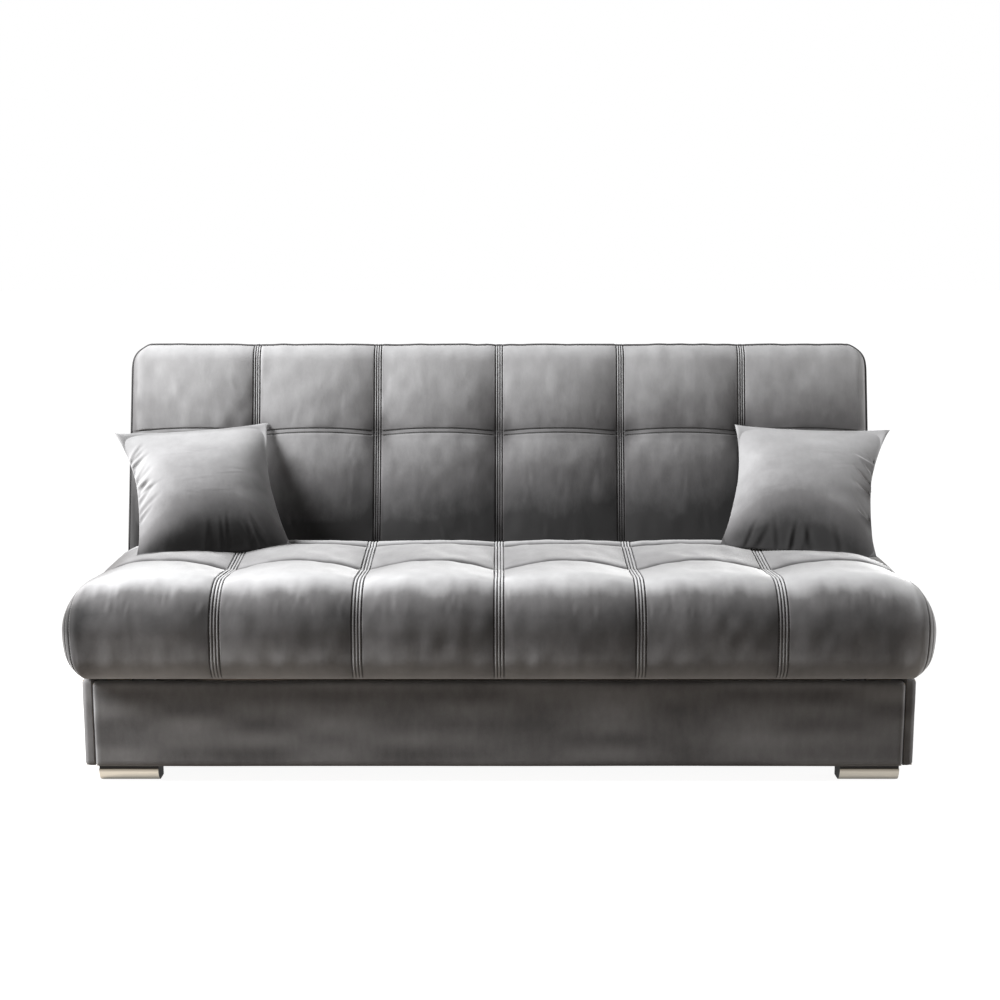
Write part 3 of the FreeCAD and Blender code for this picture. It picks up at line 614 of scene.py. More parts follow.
def mesh_object(name, points, faces):
    mesh = bpy.data.meshes.new(name)
    mesh.from_pydata(np.asarray(points).reshape(-1, 3).tolist(), [], np.asarray(faces).tolist())
    return placed(name, smooth_shaded(mesh))


def shown_mesh(source):
    """A new mesh of an object as its modifiers show it."""
    return bpy.data.meshes.new_from_object(source.evaluated_get(bpy.context.evaluated_depsgraph_get()))


def plain_mesh(source):
    """The object with its modifiers turned into mesh."""
    mesh = shown_mesh(source)
    source.modifiers.clear()
    source.data = mesh
    return source


def read_values(items, name, size):
    """Numbers of one kind from a mesh, with a row for each item."""
    values = np.zeros(len(items) * size, np.float32)
    items.foreach_get(name, values)
    return values.reshape(-1, size).astype(float)


def paint(target, name, values):
    """Stores one value for each point of an object's mesh, for its material to read."""
    stored = target.data.attributes.new(name, "FLOAT", "POINT")
    stored.data.foreach_set("value", np.asarray(values, np.float32).ravel())


def grid_faces(rows, columns, closed):
    """Quads over a grid of rows and columns, the last row joined to the first when closed."""
    r = np.arange(rows if closed else rows - 1)[:, None]
    c = np.arange(columns - 1)[None, :]
    after = (r + 1) % rows
    corners = [r * columns + c, r * columns + c + 1, after * columns + c + 1, after * columns + c]
    return np.stack([corner.ravel() for corner in corners], 1)


def settled(name, points, faces, held, pressure, growth, stiffness, bending, cap):
    """Points after a short cloth simulation, with some of them held and none moved further than a cap."""
    source = mesh_object(name, points, faces)
    group = source.vertex_groups.new(name="held")
    for weight in np.unique(held[held > 0]):
        group.add(np.flatnonzero(held == weight).tolist(), float(weight), "REPLACE")
    cloth = source.modifiers.new("cloth", "CLOTH")
    settings = cloth.settings
    settings.quality = CLOTH_QUALITY
    settings.mass = CLOTH_MASS
    settings.tension_stiffness = stiffness
    settings.compression_stiffness = stiffness
    settings.shear_stiffness = stiffness / 2
    settings.bending_stiffness = bending
    settings.vertex_group_mass = "held"
    settings.use_pressure = True
    settings.uniform_pressure_force = pressure
    settings.shrink_min = -growth
    settings.effector_weights.gravity = 0.0
    cloth.point_cache.frame_end = SIMULATED_FRAMES
    scene = bpy.context.scene
    for step in range(1, SIMULATED_FRAMES + 1):
        scene.frame_set(step)
    shown = source.evaluated_get(bpy.context.evaluated_depsgraph_get())
    result = read_values(shown.data.vertices, "co", 3)
    scene.frame_set(1)
    bpy.data.objects.remove(source)
    change = result - points
    length = np.linalg.norm(change, axis=1, keepdims=True)
    return points + change * np.minimum(1, cap / np.maximum(length, 1e-9))


def creased(across, along, folds):
    """Height of small folds in a fabric, each a ridge beside a valley that fades towards its ends."""
    total = 0.0
    for place, run, lean, length, width, depth in folds:
        away = (across - place) * math.cos(lean) - (along - run) * math.sin(lean)
        onward = (along - run) * math.cos(lean) + (across - place) * math.sin(lean)
        fade = np.clip(1 - (onward / length) ** 2, 0, 1) ** 2
        share = away / width
        total = total + depth * fade * share * np.exp(0.5 - share ** 2 / 2)
    return total


def scattered(seed, count, *spans):
    """Rows of values, each drawn evenly from its span, the same on each run."""
    draw = np.random.default_rng(seed)
    return [[draw.uniform(low, high) for low, high in spans] for _ in range(count)]


def to_seam(place):
    """Way across to each place from its nearest column seam."""
    near = place[None, :] - np.array(COLUMN_SEAMS)[:, None]
    return near[np.argmin(np.abs(near), 0), np.arange(len(place))]


def sewn_at(away, lines, width):
    """1 along the middle of sewn lines, fading beside them."""
    return sum(np.exp(-((away - line) / width) ** 2) for line in lines)


def fine_places(low, high, lines, coarse):
    """Places that are close together by the given lines and further apart between them."""
    places = [low]
    while places[-1] < high:
        gap = min([abs(places[-1] - line) for line in lines] + [1.0])
        places.append(places[-1] + min(coarse, max(FINE_STEP, (gap - FINE_REACH) * FINE_GROWTH)))
    return np.array(places[:-1] + [high])


class Quilt:
    """The upholstery of one mattress half, on a grid of runs round its outline and stations across."""

    def __init__(self, name, outline, width, to_sofa, **features):
        self.name = name
        self.outline = outline
        self.width = width
        self.to_sofa = to_sofa
        for feature, value in features.items():
            setattr(self, feature, value)
        self.edge = width / 2 - self.end_round

    def stations(self, inner, steps):
        """Columns of (x, inset, share of the way in over the end face, place along the fabric)."""
        right = []
        for turn in np.linspace(0, math.pi / 2, steps + 1)[1:]:
            x = self.edge + self.end_round * math.sin(turn)
            right.append((x, self.end_round * (1 - math.cos(turn)), 0.0, self.edge + self.end_round * turn))
        last = right[-1][3]
        for share in np.linspace(0, 1, END_FACE_STEPS + 1)[1:]:
            right.append((self.width / 2, self.end_round, share, last + share * self.end_round))
        middle = [(x, 0.0, 0.0, x) for x in inner]
        left = [(-x, inset, share, -place) for x, inset, share, place in reversed(right)]
        return np.array(left + middle + right)

    def plain(self, runs, stations):
        """Points and outward normals of the plain outline over runs and stations."""
        point, normal = self.outline.at(runs)
        x, inset, share, _ = stations.T
        shape = (len(runs), len(x), 1)
        flat = point[:, None, :] - normal[:, None, :] * inset[None, :, None]
        flat = flat + (self.outline.medial(flat) - flat) * share[None, :, None]
        lean = np.clip((np.abs(x) - self.edge) / self.end_round, 0, 1) * np.sign(x)
        level = np.sqrt(1 - lean ** 2)
        points = np.concatenate([np.broadcast_to(x[None, :, None], shape), flat], -1)
        outward = [np.broadcast_to(lean[None, :, None], shape), normal[:, None, :] * level[None, :, None]]
        return points, np.concatenate(outward, -1)

    def crowned(self, place):
        """How far each place is from its column seams, 0 on a seam and 1 midway, and how firm they are."""
        lines = np.array((-self.edge - END_SEAM,) + COLUMN_SEAMS + (self.edge + END_SEAM,))
        firm = np.array((END_SHARE,) + (1.0,) * len(COLUMN_SEAMS) + (END_SHARE,))
        index = np.clip(np.searchsorted(lines, place) - 1, 0, len(lines) - 2)
        across = np.clip((place - lines[index]) / (lines[index + 1] - lines[index]), 0, 1)
        firm = firm[index] * (1 - across) + firm[index + 1] * across
        return 1 - np.abs(2 * across - 1) ** CROWN_POWER, firm

    def off_ends(self, place):
        """1 across the half, fading to 0 round its ends."""
        return (1 - smooth(self.edge, self.edge + self.end_round, np.abs(place)))[None, :]

    def on_band(self, near):
        """1 on the sewn band of a column seam, 0 beside it."""
        return np.exp(-(near / self.bands[-1]) ** BAND_POWER)[None, :]

    def to_row(self, runs, place):
        """Shortest way along the fabric from each run and place to a row seam."""
        half = self.outline.length / 2
        arch = (self.row_arch * self.crowned(place)[0])[None, :]
        ways = [runs[:, None] - row - arch for row in self.rows]
        return np.min([np.abs((way + half) % (2 * half) - half) for way in ways], 0)

    def swelling(self, runs, place):
        """How far the padding stands out from the plain outline, below 0 where seams draw it in."""
        table = np.array(self.shape)
        blend = np.linspace(-SHAPE_BLEND, SHAPE_BLEND, SHAPE_BLEND_STEPS)
        crown, seam = (
            np.mean([np.interp(runs + step, table[:, 0], table[:, k]) for step in blend], 0)[:, None]
            for k in (1, 2)
        )
        over, firm = self.crowned(place)
        pull = (firm * (1 - over))[None, :]
        total = crown * (1 - pull) + seam * pull
        total = total - self.row_depth * np.exp(-self.to_row(runs, place) / ROW_REACH)
        total = np.where(total < 0, DEEPEST * np.tanh(total / DEEPEST), total)
        return total * self.off_ends(place)

    def settle(self):
        """Moves of the padding from its plain outline, simulated as cloth held at its seams."""
        count = int(self.outline.length / GRID_STEP)
        runs = np.arange(count) * self.outline.length / count
        columns = int(2 * self.edge / GRID_STEP)
        stations = self.stations(np.linspace(-self.edge, self.edge, columns), END_ROUND_STEPS[0])
        places = stations[:, 3]
        points, outward = self.plain(runs, stations)
        swell = self.swelling(runs, places)[..., None] * outward
        _, normal = self.outline.at(runs)
        fixed = (np.abs(to_seam(places)) < GRID_STEP) | (np.abs(places) > self.edge + END_SEAM)
        fixed = fixed[None, :] | (normal[:, 1] < HELD_BELOW)[:, None]
        held = np.where(fixed, 1.0, (self.to_row(runs, places) < GRID_STEP) * ROW_HOLD)
        faces = grid_faces(len(runs), len(stations), True)
        u, v = np.meshgrid(places, runs)
        ripple = clouds(u, v, QUILT_RIPPLE_SEED, QUILT_RIPPLE_SIZE) * QUILT_RIPPLE * (1 - held)
        start = (points + swell + outward * ripple[..., None]).reshape(-1, 3)
        moved = settled(self.name + "_cloth", start, faces, held.ravel(), **QUILT_CLOTH)
        swell = moved.reshape(points.shape) - points
        return runs, places, swell

    def build(self, cut):
        """The finished upholstery: settled padding with its sewn bands, less what the cut leaves out."""
        coarse_runs, coarse, moves = self.settle()
        runs = fine_places(0.0, self.outline.length, self.rows, RUN_STEP)[:-1]
        inner = fine_places(-self.edge, self.edge, COLUMN_SEAMS, ACROSS_STEP)
        stations = self.stations(inner, END_ROUND_STEPS[1])
        places = stations[:, 3]
        points, outward = self.plain(runs, stations)
        down = runs / self.outline.length * len(coarse_runs)
        over = np.interp(places, coarse, np.arange(len(coarse)))
        moves = resampled(resampled(moves, down, 0, True), over, 1, False)
        crease, ridge = self.stitched(runs, places)
        across, along = np.meshgrid(places, runs)
        height = ridge - LINE_DEPTH * crease + creased(across, along, self.folds) * (1 - crease)
        points = self.turned(points + moves + outward * height[..., None])
        faces = grid_faces(len(runs), len(stations), True)
        middle = points.reshape(-1, 3)[faces].mean(1)
        self.runs, self.places, self.points, self.outward = runs, places, points, outward
        made = mesh_object(self.name, self.to_sofa(points.reshape(-1, 3)), faces[~cut(middle)])
        paint(made, "nap", self.nap(runs, places))
        # Mask of the sewn lines, which also places the painted seam shade
        paint(made, "crease", crease)
        return made

    def turned(self, points):
        """Points with the ends narrowed to a round at one side, and the upper face rounded off there."""
        moved = points.copy()
        axis, way, (wide, tall) = self.corner
        far = (self.outline.points[:, axis - 1] * way).max()
        rise = np.clip((points[..., axis] * way - far) / tall + 1, 0, 1)
        beside = np.maximum(np.abs(points[..., 0]) - (self.width / 2 - wide), 0)
        moved[..., 0] -= np.sign(points[..., 0]) * beside * (1 - np.sqrt(1 - rise ** 2))
        beside = np.clip((np.abs(points[..., 0]) - self.width / 2) / SEAT_END_WIDE + 1, 0, 1)
        upper = np.clip(points[..., 2] / self.outline.circles[0][2], 0, 1)
        tall = np.interp(points[..., 1], (0.0, self.outline.points[:, 0].max()), self.end_drops)
        moved[..., 2] -= tall * (1 - np.sqrt(1 - beside ** 2)) * upper
        return moved

    def stitched(self, runs, place):
        """Sewn lines, 1 in their middle, and the height of the ridges between those of a column seam."""
        near = to_seam(place)
        _, normal = self.outline.at(runs)
        upper = smooth(*SEWN_FROM, normal[:, 1])[:, None]
        columns = sewn_at(near, self.bands, LINE_WIDTH)[None, :] * upper
        rows = sewn_at(self.to_row(runs, place), self.row_lines, self.row_width)
        ends = sewn_at(np.abs(place) - self.edge, END_LINES, LINE_WIDTH)[None, :]
        clear = (1 - np.exp(-(near / BAND_REACH) ** BAND_POWER))[None, :] * self.off_ends(place)
        crease = np.clip(columns + rows * clear + self.end_stitched * ends * upper, 0, 1)
        return crease, RIDGE * self.on_band(near) * upper

    def band_places(self):
        return [seam + line for seam in COLUMN_SEAMS for line in self.bands]

    def scattered_folds(self, first, last, folds):
        """Small folds from one run to another, all the way across."""
        seed, count, *spans = folds
        return scattered(seed, count, (-self.edge, self.edge), (first, last), *spans)

    def nap(self, runs, place):
        """Painted light and shade on the pile: lighter above 0 and darker below by the table, with a ragged
        edge, a painted falloff from left to right, painted shade beside the seams and where rows cross
        them, a painted highlight on the bands, painted light and shade over the ends, and random patches of
        brushing.
        """
        u, v = np.meshgrid(place, runs)
        table = np.array(self.tones)
        # Painted light and shade from the table, with a ragged edge, and the painted falloff of the light
        # from left to right
        run = v + layered(u, v, RAGGED_LAYERS) * self.ragged
        tone, lean = (np.interp(run, table[:, 0], table[:, k]) for k in (1, 2))
        near = to_seam(place)
        # Painted shade on the right side of each panel, beside the seam, where the light from the left
        # falls away
        painted_lee = PAINTED_LEE_SHADE * np.where(near < 0, np.exp(near / PAINTED_LEE_REACH), 0.0)
        tone = tone + lean * u + BRUSHED_TONE * layered(u, v, BRUSHED_LAYERS) - painted_lee
        # Painted highlight on the sewn bands, which also takes the painted shade off them
        tone = tone + (PAINTED_RIDGE_LIGHT + painted_lee) * self.on_band(near)
        # Painted shade where the rows cross the column seams
        away = (near / PAINTED_PINCH_REACH[0])[None, :] ** 2 + (self.to_row(runs, place) / PAINTED_PINCH_REACH[1]) ** 2
        tone = tone - self.pinch * np.exp(-away)
        # Painted light over the right end and painted shade over the left end; the end faces get a plain
        # tone
        turned = (np.abs(place) - self.edge + self.end_shade) / (self.end_round + self.end_shade)
        turned = np.clip(turned, 0, 1) * np.sign(place)
        first, last = (self.edge + share * self.end_round for share in END_FACE_SPAN)
        over = smooth(first, last, np.abs(place))[None, :]
        return tone * (1 - over) + END_FACE_TONE * over + PAINTED_END_LIGHT * turned[None, :]


def seat_quilt():
    low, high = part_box("seat_cover")
    _, hinge_y, hinge_z = joint["seat_lift"]["pos_m"]
    radius = hinge_z - low.z
    reach = hinge_y - low.y
    top = SEAT_NOSE_TOP_RADIUS
    under = SEAT_NOSE_UNDER_RADIUS
    circles = [
        (0.0, 0.0, radius),
        (reach - under, under - radius, under),
        (reach - top, SEAT_NOSE_HEIGHT - radius - top, top),
    ]

    def to_sofa(points):
        return np.stack([points[:, 0], hinge_y - points[:, 1], hinge_z + points[:, 2]], 1)

    outline = Outline(circles)
    first, second = (outline.run_at(reach - row) for row in SEAT_ROWS)
    quilt = Quilt(
        "seat_upholstery", outline, high.x - low.x, to_sofa,
        rows=[first, second], row_depth=SEAT_ROW_DEPTH, row_arch=0.0,
        row_lines=(0.0,), row_width=SEAT_ROW_WIDTH, bands=BAND_LINES,
        corner=(2, -1, SEAT_LOWER_CORNER), pinch=0.0, ragged=SEAT_RAGGED,
        end_round=SEAT_END_ROUND, end_drops=SEAT_END_DROPS, end_shade=SEAT_END_SHADE, end_stitched=1.0,
    )
    roll = outline.run_at(reach - top)
    front = roll - top * math.pi / 2
    # Run, and how far the padding stands out midway between seams and on them
    quilt.shape = [
        (front - 0.10, 0.0, 0.0),
        (front - 0.02, 0.004, -0.004),
        (roll - 0.06, 0.008, -0.005),
        (roll + 0.03, 0.010, -0.008),
        (first, 0.012, -0.020),
        ((first + second) / 2, 0.015, -0.003),
        (second, 0.019, 0.010),
        (second + 0.036, 0.021, 0.016),
        (second + 0.08, 0.006, 0.005),
        (second + 0.135, 0.0, 0.0),
    ]
    # Run, the painted light and shade of the pile there (bright over the roll and top, darkest on the front
    # under the roll, lighter towards the bottom edge), and how that painted light changes from left to
    # right
    quilt.tones = [
        (front - 0.13, 0.12, -0.04),
        (front - 0.10, 0.05, -0.05),
        (front - 0.05, -0.09, -0.06),
        (front + 0.02, -0.29, -0.03),
        (roll - 0.13, -0.33, 0.0),
        (roll - 0.09, -0.20, 0.0),
        (roll - 0.055, 0.12, 0.0),
        (roll - 0.03, 0.24, 0.0),
        (roll, 0.16, 0.0),
        (first - 0.07, 0.05, 0.0),
        (first - 0.02, -0.04, 0.0),
        (first + 0.02, -0.12, 0.0),
        (second - 0.01, -0.04, 0.0),
        (second + 0.01, 0.10, 0.0),
        (second + 0.05, 0.10, 0.0),
    ]
    quilt.folds = quilt.scattered_folds(roll - 0.125, roll - 0.075, SEAT_FOLDS)
    return quilt


def back_quilt():
    low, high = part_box("back_cover")
    _, hinge_y, hinge_z = joint["back_recline"]["pos_m"]
    rear = BACK_TOP_REAR_RADIUS
    front = BACK_TOP_FRONT_RADIUS
    circles = [
        (0.0, 0.0, BACK_HINGE_RADIUS),
        (BACK_REACH - rear, rear - BACK_HINGE_RADIUS, rear),
        (BACK_REACH - front, BACK_HINGE_RADIUS - front, front),
    ]
    up = np.array([math.sin(BACK_LEAN), math.cos(BACK_LEAN)])
    forward = np.array([-math.cos(BACK_LEAN), math.sin(BACK_LEAN)])

    def to_sofa(points):
        flat = points[:, 1:2] * up + points[:, 2:3] * forward + (hinge_y, hinge_z)
        return np.concatenate([points[:, :1], flat], 1)

    outline = Outline(circles)
    row = outline.run_at(BACK_REACH - BACK_ROW)
    quilt = Quilt(
        "back_upholstery", outline, high.x - low.x, to_sofa,
        rows=[row], row_depth=BACK_ROW_DEPTH, row_arch=BACK_ROW_ARCH,
        row_lines=(BACK_ROW_LINE,), row_width=LINE_WIDTH, bands=BACK_BAND_LINES,
        corner=(1, 1, BACK_UPPER_CORNER), pinch=PAINTED_PINCH_SHADE, ragged=BACK_RAGGED,
        end_round=BACK_END_ROUND, end_drops=(0.0, 0.0), end_shade=0.0, end_stitched=0.0,
    )
    top = outline.run_at(BACK_REACH - front)
    foot = outline.run_at(0.0)
    quilt.shape = [
        (top - 0.10, 0.0, 0.0),
        (top - 0.05, 0.001, 0.0),
        (top, 0.006, -0.003),
        ((top + row) / 2, 0.011, -0.008),
        (row, 0.008, -0.012),
        (row + 0.08, 0.013, -0.008),
        (foot - 0.12, 0.013, -0.006),
        (foot - 0.05, 0.006, -0.003),
        (foot + 0.02, 0.0, 0.0),
    ]
    # Run, the painted light and shade of the pile there (lighter at the top, darker towards the seat), and
    # how that painted light changes from left to right
    quilt.tones = [
        (top - 0.12, 0.1, 0.0),
        (top - 0.04, 0.12, -0.01),
        (top + 0.03, 0.05, -0.02),
        (row - 0.02, -0.13, -0.12),
        (row + 0.02, -0.05, -0.04),
        (row + 0.10, -0.21, -0.09),
        (foot - 0.12, -0.50, -0.07),
        (foot - 0.06, -0.74, 0.0),
    ]
    upper = quilt.scattered_folds(top + 0.03, row - 0.04, BACK_UPPER_FOLDS)
    lower = quilt.scattered_folds(row + 0.04, foot - 0.07, BACK_LOWER_FOLDS)
    quilt.folds = upper + lower
    return quilt


def underside_cut(recess, swing, radius):
    """Marks what lies in the open underside of a half or in the slots of its hinge horns."""

    def cut(points):
        x, a, b = points.T
        side = np.abs(x)
        under = (b < -RECESS_FROM * radius) & (side < RECESS_HALF_WIDTH)
        under = under & (a > recess[0]) & (a < recess[1])
        slot = (side > SLOT_X[0]) & (side < SLOT_X[1]) & (b < 0.0)
        angle = np.arctan2(-a, -b)
        turned = np.abs(np.clip(angle, 0, swing) - angle) * np.hypot(a, b)
        return under | (slot & (turned < SLOT_RADIUS))

    return cut


def tube(path, radius, sides):
    """Points and faces of a round tube along a path, open at its ends."""
    path = np.asarray(path)
    ahead = np.gradient(path, axis=0)
    ahead /= np.linalg.norm(ahead, axis=1, keepdims=True)
    side = np.cross(ahead, (0.0, 1.0, 0.0))
    side /= np.linalg.norm(side, axis=1, keepdims=True)
    up = np.cross(side, ahead)
    turn = np.linspace(0, 2 * math.pi, sides, endpoint=False)
    ring = np.cos(turn)[None, :, None] * side[:, None] + np.sin(turn)[None, :, None] * up[:, None]
    points = path[:, None] + radius * ring
    faces = grid_faces(sides, len(path), True)
    return points.transpose(1, 0, 2).reshape(-1, 3), faces


def flowing(points, step):
    """Points at an even step along a smoothed path."""
    points = np.asarray(points)
    for _ in range(3):
        points[1:-1] = (points[:-2] + 2 * points[1:-1] + points[2:]) / 4
    run = np.concatenate([[0], np.cumsum(np.linalg.norm(np.diff(points, axis=0), axis=1))])
    places = np.linspace(0, run[-1], int(run[-1] / step))
    return np.stack([np.interp(places, run, points[:, k]) for k in range(3)], 1)


def back_piping(quilt):
    """Piping sewn round the front edge of the back, up one end, along the top and down the other."""
    _, normal = quilt.outline.at(quilt.runs)
    elsewhere = (normal[:, 1] < 0) | (quilt.points[:, 0, 1] < PIPING_TOP)
    top = np.argmin(np.where(elsewhere, np.inf, np.abs(normal[:, 0] - PIPING_TURN)))
    foot = np.argmin(np.abs(quilt.runs - quilt.outline.run_at(PIPING_FOOT)))
    left = np.argmin(np.abs(quilt.places + quilt.edge + PIPING_END))
    right = np.argmin(np.abs(quilt.places - quilt.edge - PIPING_END))
    surface = quilt.points + quilt.outward * PIPING_RADIUS * PIPING_SUNK
    path = np.concatenate([
        surface[foot:top:-1, left], surface[top, left:right], surface[top:foot, right],
    ])
    points, faces = tube(flowing(quilt.to_sofa(path), PIPING_STEP), PIPING_RADIUS, PIPING_SIDES)
    made = mesh_object("back_piping", points, faces)
    paint(made, "nap", np.full(len(points), PIPING_TONE))
    return made


def stitch_lines(quilt, columns, rows):
    """Broken lines over the quilt where thread is sewn."""
    points = []
    edges = []

    def add(line):
        first = len(points)
        points.extend(line)
        edges.extend((first + k, first + k + 1) for k in range(len(line) - 1))

    lifted = quilt.points + quilt.outward * THREAD_LIFT
    _, normal = quilt.outline.at(quilt.runs)
    upper = np.flatnonzero(normal[:, 1] > STITCHED_FROM)
    for place in columns:
        add([[np.interp(place, quilt.places, lifted[r, :, k]) for k in range(3)] for r in upper])
    inside = np.flatnonzero(np.abs(quilt.places) < quilt.edge)
    arch = quilt.row_arch * quilt.crowned(quilt.places)[0]
    for row in rows:
        add([[np.interp(row + arch[c], quilt.runs, lifted[:, c, k]) for k in range(3)] for c in inside])
    mesh = bpy.data.meshes.new(quilt.name + "_stitch_lines")
    mesh.from_pydata(quilt.to_sofa(np.array(points)).tolist(), edges, [])
    return placed(mesh.name, mesh)


def stitch_tree(thread_material):
    """Geometry nodes that set short rounded stitches along lines."""
    tree = bpy.data.node_groups.new("stitches", "GeometryNodeTree")
    face = tree.interface
    face.new_socket("Lines", in_out="INPUT", socket_type="NodeSocketGeometry")
    for name in STITCH_SIZES:
        face.new_socket(name, in_out="INPUT", socket_type="NodeSocketFloat")
    face.new_socket("Stitches", in_out="OUTPUT", socket_type="NodeSocketGeometry")
    start = Term(tree)
    entry = tree.nodes.new("NodeGroupInput")
    lines, pitch, length, radius = (Term(tree, entry.outputs[k]) for k in range(4))
    curve = start.node("GeometryNodeMeshToCurve", Mesh=lines)
    evenly = start.node("GeometryNodeResampleCurve", {"mode": "LENGTH"}, Curve=curve, Length=pitch)
    tangent = start.node("GeometryNodeInputTangent")
    along = start.node("FunctionNodeAlignRotationToVector", {"axis": "Z"}, Vector=tangent)
    stitch = start.node("GeometryNodeMeshUVSphere", Segments=6, Rings=4, Radius=1.0)
    size = start.node("ShaderNodeCombineXYZ", X=radius, Y=radius, Z=length * 0.5)
    spaced = start.node(
        "GeometryNodeInstanceOnPoints", Points=evenly, Instance=stitch, Rotation=along, Scale=size,
    )
    solid = start.node("GeometryNodeRealizeInstances", Geometry=spaced)
    finished = start.node("GeometryNodeSetMaterial", Geometry=solid, Material=thread_material)
    leave = tree.nodes.new("NodeGroupOutput")
    tree.links.new(finished.socket, leave.inputs[0])
    return tree


def sewn(name, lines, tree):
    """A plain mesh of the stitches along the lines."""
    maker = lines.modifiers.new("stitches", "NODES")
    maker.node_group = tree
    for socket in tree.interface.items_tree:
        if socket.name in STITCH_SIZES:
            maker[socket.identifier] = STITCH_SIZES[socket.name]
    mesh = smooth_shaded(shown_mesh(lines))
    bpy.data.objects.remove(lines)
    mesh.name = name
    return placed(name, mesh)


def pillow_grid(count):
    """Two square layers joined along their border, as points on -1 to 1, sides and faces."""
    line = np.linspace(-1, 1, count)
    v, u = np.meshgrid(line, line)
    front = np.stack([u.ravel(), v.ravel()], 1)
    border = (np.maximum(np.abs(u), np.abs(v)) > 1 - 1e-9).ravel()
    inner = np.flatnonzero(~border)
    rear = np.arange(count * count)
    rear[inner] = count * count + np.arange(len(inner))
    faces = grid_faces(count, count, False)
    points = np.concatenate([front, front[inner]])
    sides = np.concatenate([np.where(border, 0.0, -1.0), np.ones(len(inner))])
    return points, sides, np.concatenate([faces, rear[faces[:, ::-1]]])


def cushion_shape(side, outer, u, v, layer):
    """Points of a stuffed square: sides drawn in, corners drawn out and the belly low."""
    half = CUSHION_SPREAD * CUSHION_SIZE / 2
    beside = CUSHION_INNER_PULL + (CUSHION_OUTER_PULL - CUSHION_INNER_PULL) * (1 + outer * u) / 2
    above = CUSHION_TOP_PULL * (1 + v) / 2
    x = half * u * (1 - beside * (1 - v ** 2))
    z = half * v * (1 - above * (1 - u ** 2))
    for (corner_u, corner_v), (dx, dz) in CUSHION_CORNERS[side].items():
        share = (1 + corner_u * u) * (1 + corner_v * v) / 4
        x = x + share * dx
        z = z + share * dz
    low = v + CUSHION_BELLY * (1 - v ** 2)
    soft = (1 - u ** 2) * (1 - low ** 2)
    full = (1 - u ** 4) * (1 - low ** 4)
    bulge = CUSHION_SOFT_SHARE * soft + (1 - CUSHION_SOFT_SHARE) * full
    return np.stack([x, layer * CUSHION_THICKNESS / 2 * bulge, z], 1)


def cushion_folds(outer, seed):
    """Folds that run in from a cushion's outer and lower seams, and a few fine ones over its middle."""
    half = CUSHION_SIZE / 2
    gathered = [
        (outer * half, half * place, -outer * (math.pi / 2 - lean), *size)
        for place, lean, *size in scattered(seed, *GATHERED_FOLDS)
    ]
    lower = [
        (half * place, -half, -place * LOWER_FOLD_FAN + lean, *size)
        for place, lean, *size in scattered(seed + 1, *LOWER_FOLDS)
    ]
    fine = [
        (half * place, half * rise, math.pi / 2 + lean, *size)
        for place, rise, lean, *size in scattered(seed + 2, *FINE_FOLDS)
    ]
    return gathered + lower + fine


def laid_on(points, piece, way, slides):
    """Points brought back along a direction to lie clear of a piece, also where they slide over it."""
    tree = BVHTree.FromObject(piece, bpy.context.evaluated_depsgraph_get())
    way = Vector(way)
    clear = 1 + CUSHION_REST
    moved = points.copy()
    for slide in slides:
        for index, point in enumerate(moved):
            at, _, _, distance = tree.ray_cast(Vector(point) + slide - way, way)
            if at and distance < clear:
                moved[index] = point - np.array(way) * (clear - distance)
    return moved


def scatter_cushion(side, outer, seat_piece, back_piece):
    """Stuffed square cushion, simulated as two sewn layers under pressure, then set where it leans."""
    plane, layer, faces = pillow_grid(CUSHION_GRID)
    u, v = plane.T
    points = cushion_shape(side, outer, u, v, layer)
    points = settled(f"cushion_cloth_{side}", points, faces, np.zeros(len(points)), **CUSHION_CLOTH)
    made = mesh_object(f"scatter_cushion_{side}", points, faces)
    paint(made, "across", u)
    paint(made, "up", v)
    finer = made.modifiers.new("finer", "SUBSURF")
    finer.levels = finer.render_levels = CUSHION_SMOOTHING
    mesh = plain_mesh(made).data
    u, v = (read_values(mesh.attributes[name].data, "value", 1)[:, 0] for name in ("across", "up"))
    half = CUSHION_SPREAD * CUSHION_SIZE / 2
    inside = smooth(0.0, FOLD_FREE_SEAM, 1 - np.maximum(np.abs(u), np.abs(v)))
    folds = creased(u * half, v * half, cushion_folds(outer, CUSHION_SEEDS[side])) * inside
    normals = read_values(mesh.vertex_normals, "vector", 3)
    points = read_values(mesh.vertices, "co", 3) + normals * folds[:, None]
    turn = Matrix.Rotation(-outer * CUSHION_YAW, 3, "Z") @ Matrix.Rotation(-CUSHION_TILT, 3, "X")
    low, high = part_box(f"cushion_cover_{side}")
    points = points @ np.array(turn).T + np.array((low + high) / 2)
    rise = CUSHION_RISE * Vector((0, math.sin(BACK_LEAN), math.cos(BACK_LEAN)))
    slides = [share * rise for share in (0, 0.5, 1)]
    points = laid_on(points, seat_piece, (0, 0, -1), slides[:1])
    points = laid_on(points, back_piece, (0, 1, 0), slides)
    mesh.vertices.foreach_set("co", points.astype(np.float32).ravel())
    mesh.update()
    # Painted shade over the height, darker low down in an arch
    tone = np.interp(v + CUSHION_PAINTED_SHADE_BOW * u ** 2, *zip(*CUSHION_PAINTED_SHADE))
    across, up = CUSHION_PATCHES
    patches = clouds(u * across, v * up, CUSHION_PATCH_SEED, shift=CUSHION_PATCH_SHIFT)
    # Random patches, and painted light and shade on the folds: raised sides lighter, hollows darker
    paint(made, "nap", tone + CUSHION_PATCH_TONE * patches + folds * PAINTED_FOLD_LIGHT)
    for name in ("across", "up"):
        mesh.attributes.remove(mesh.attributes[name])
    return made


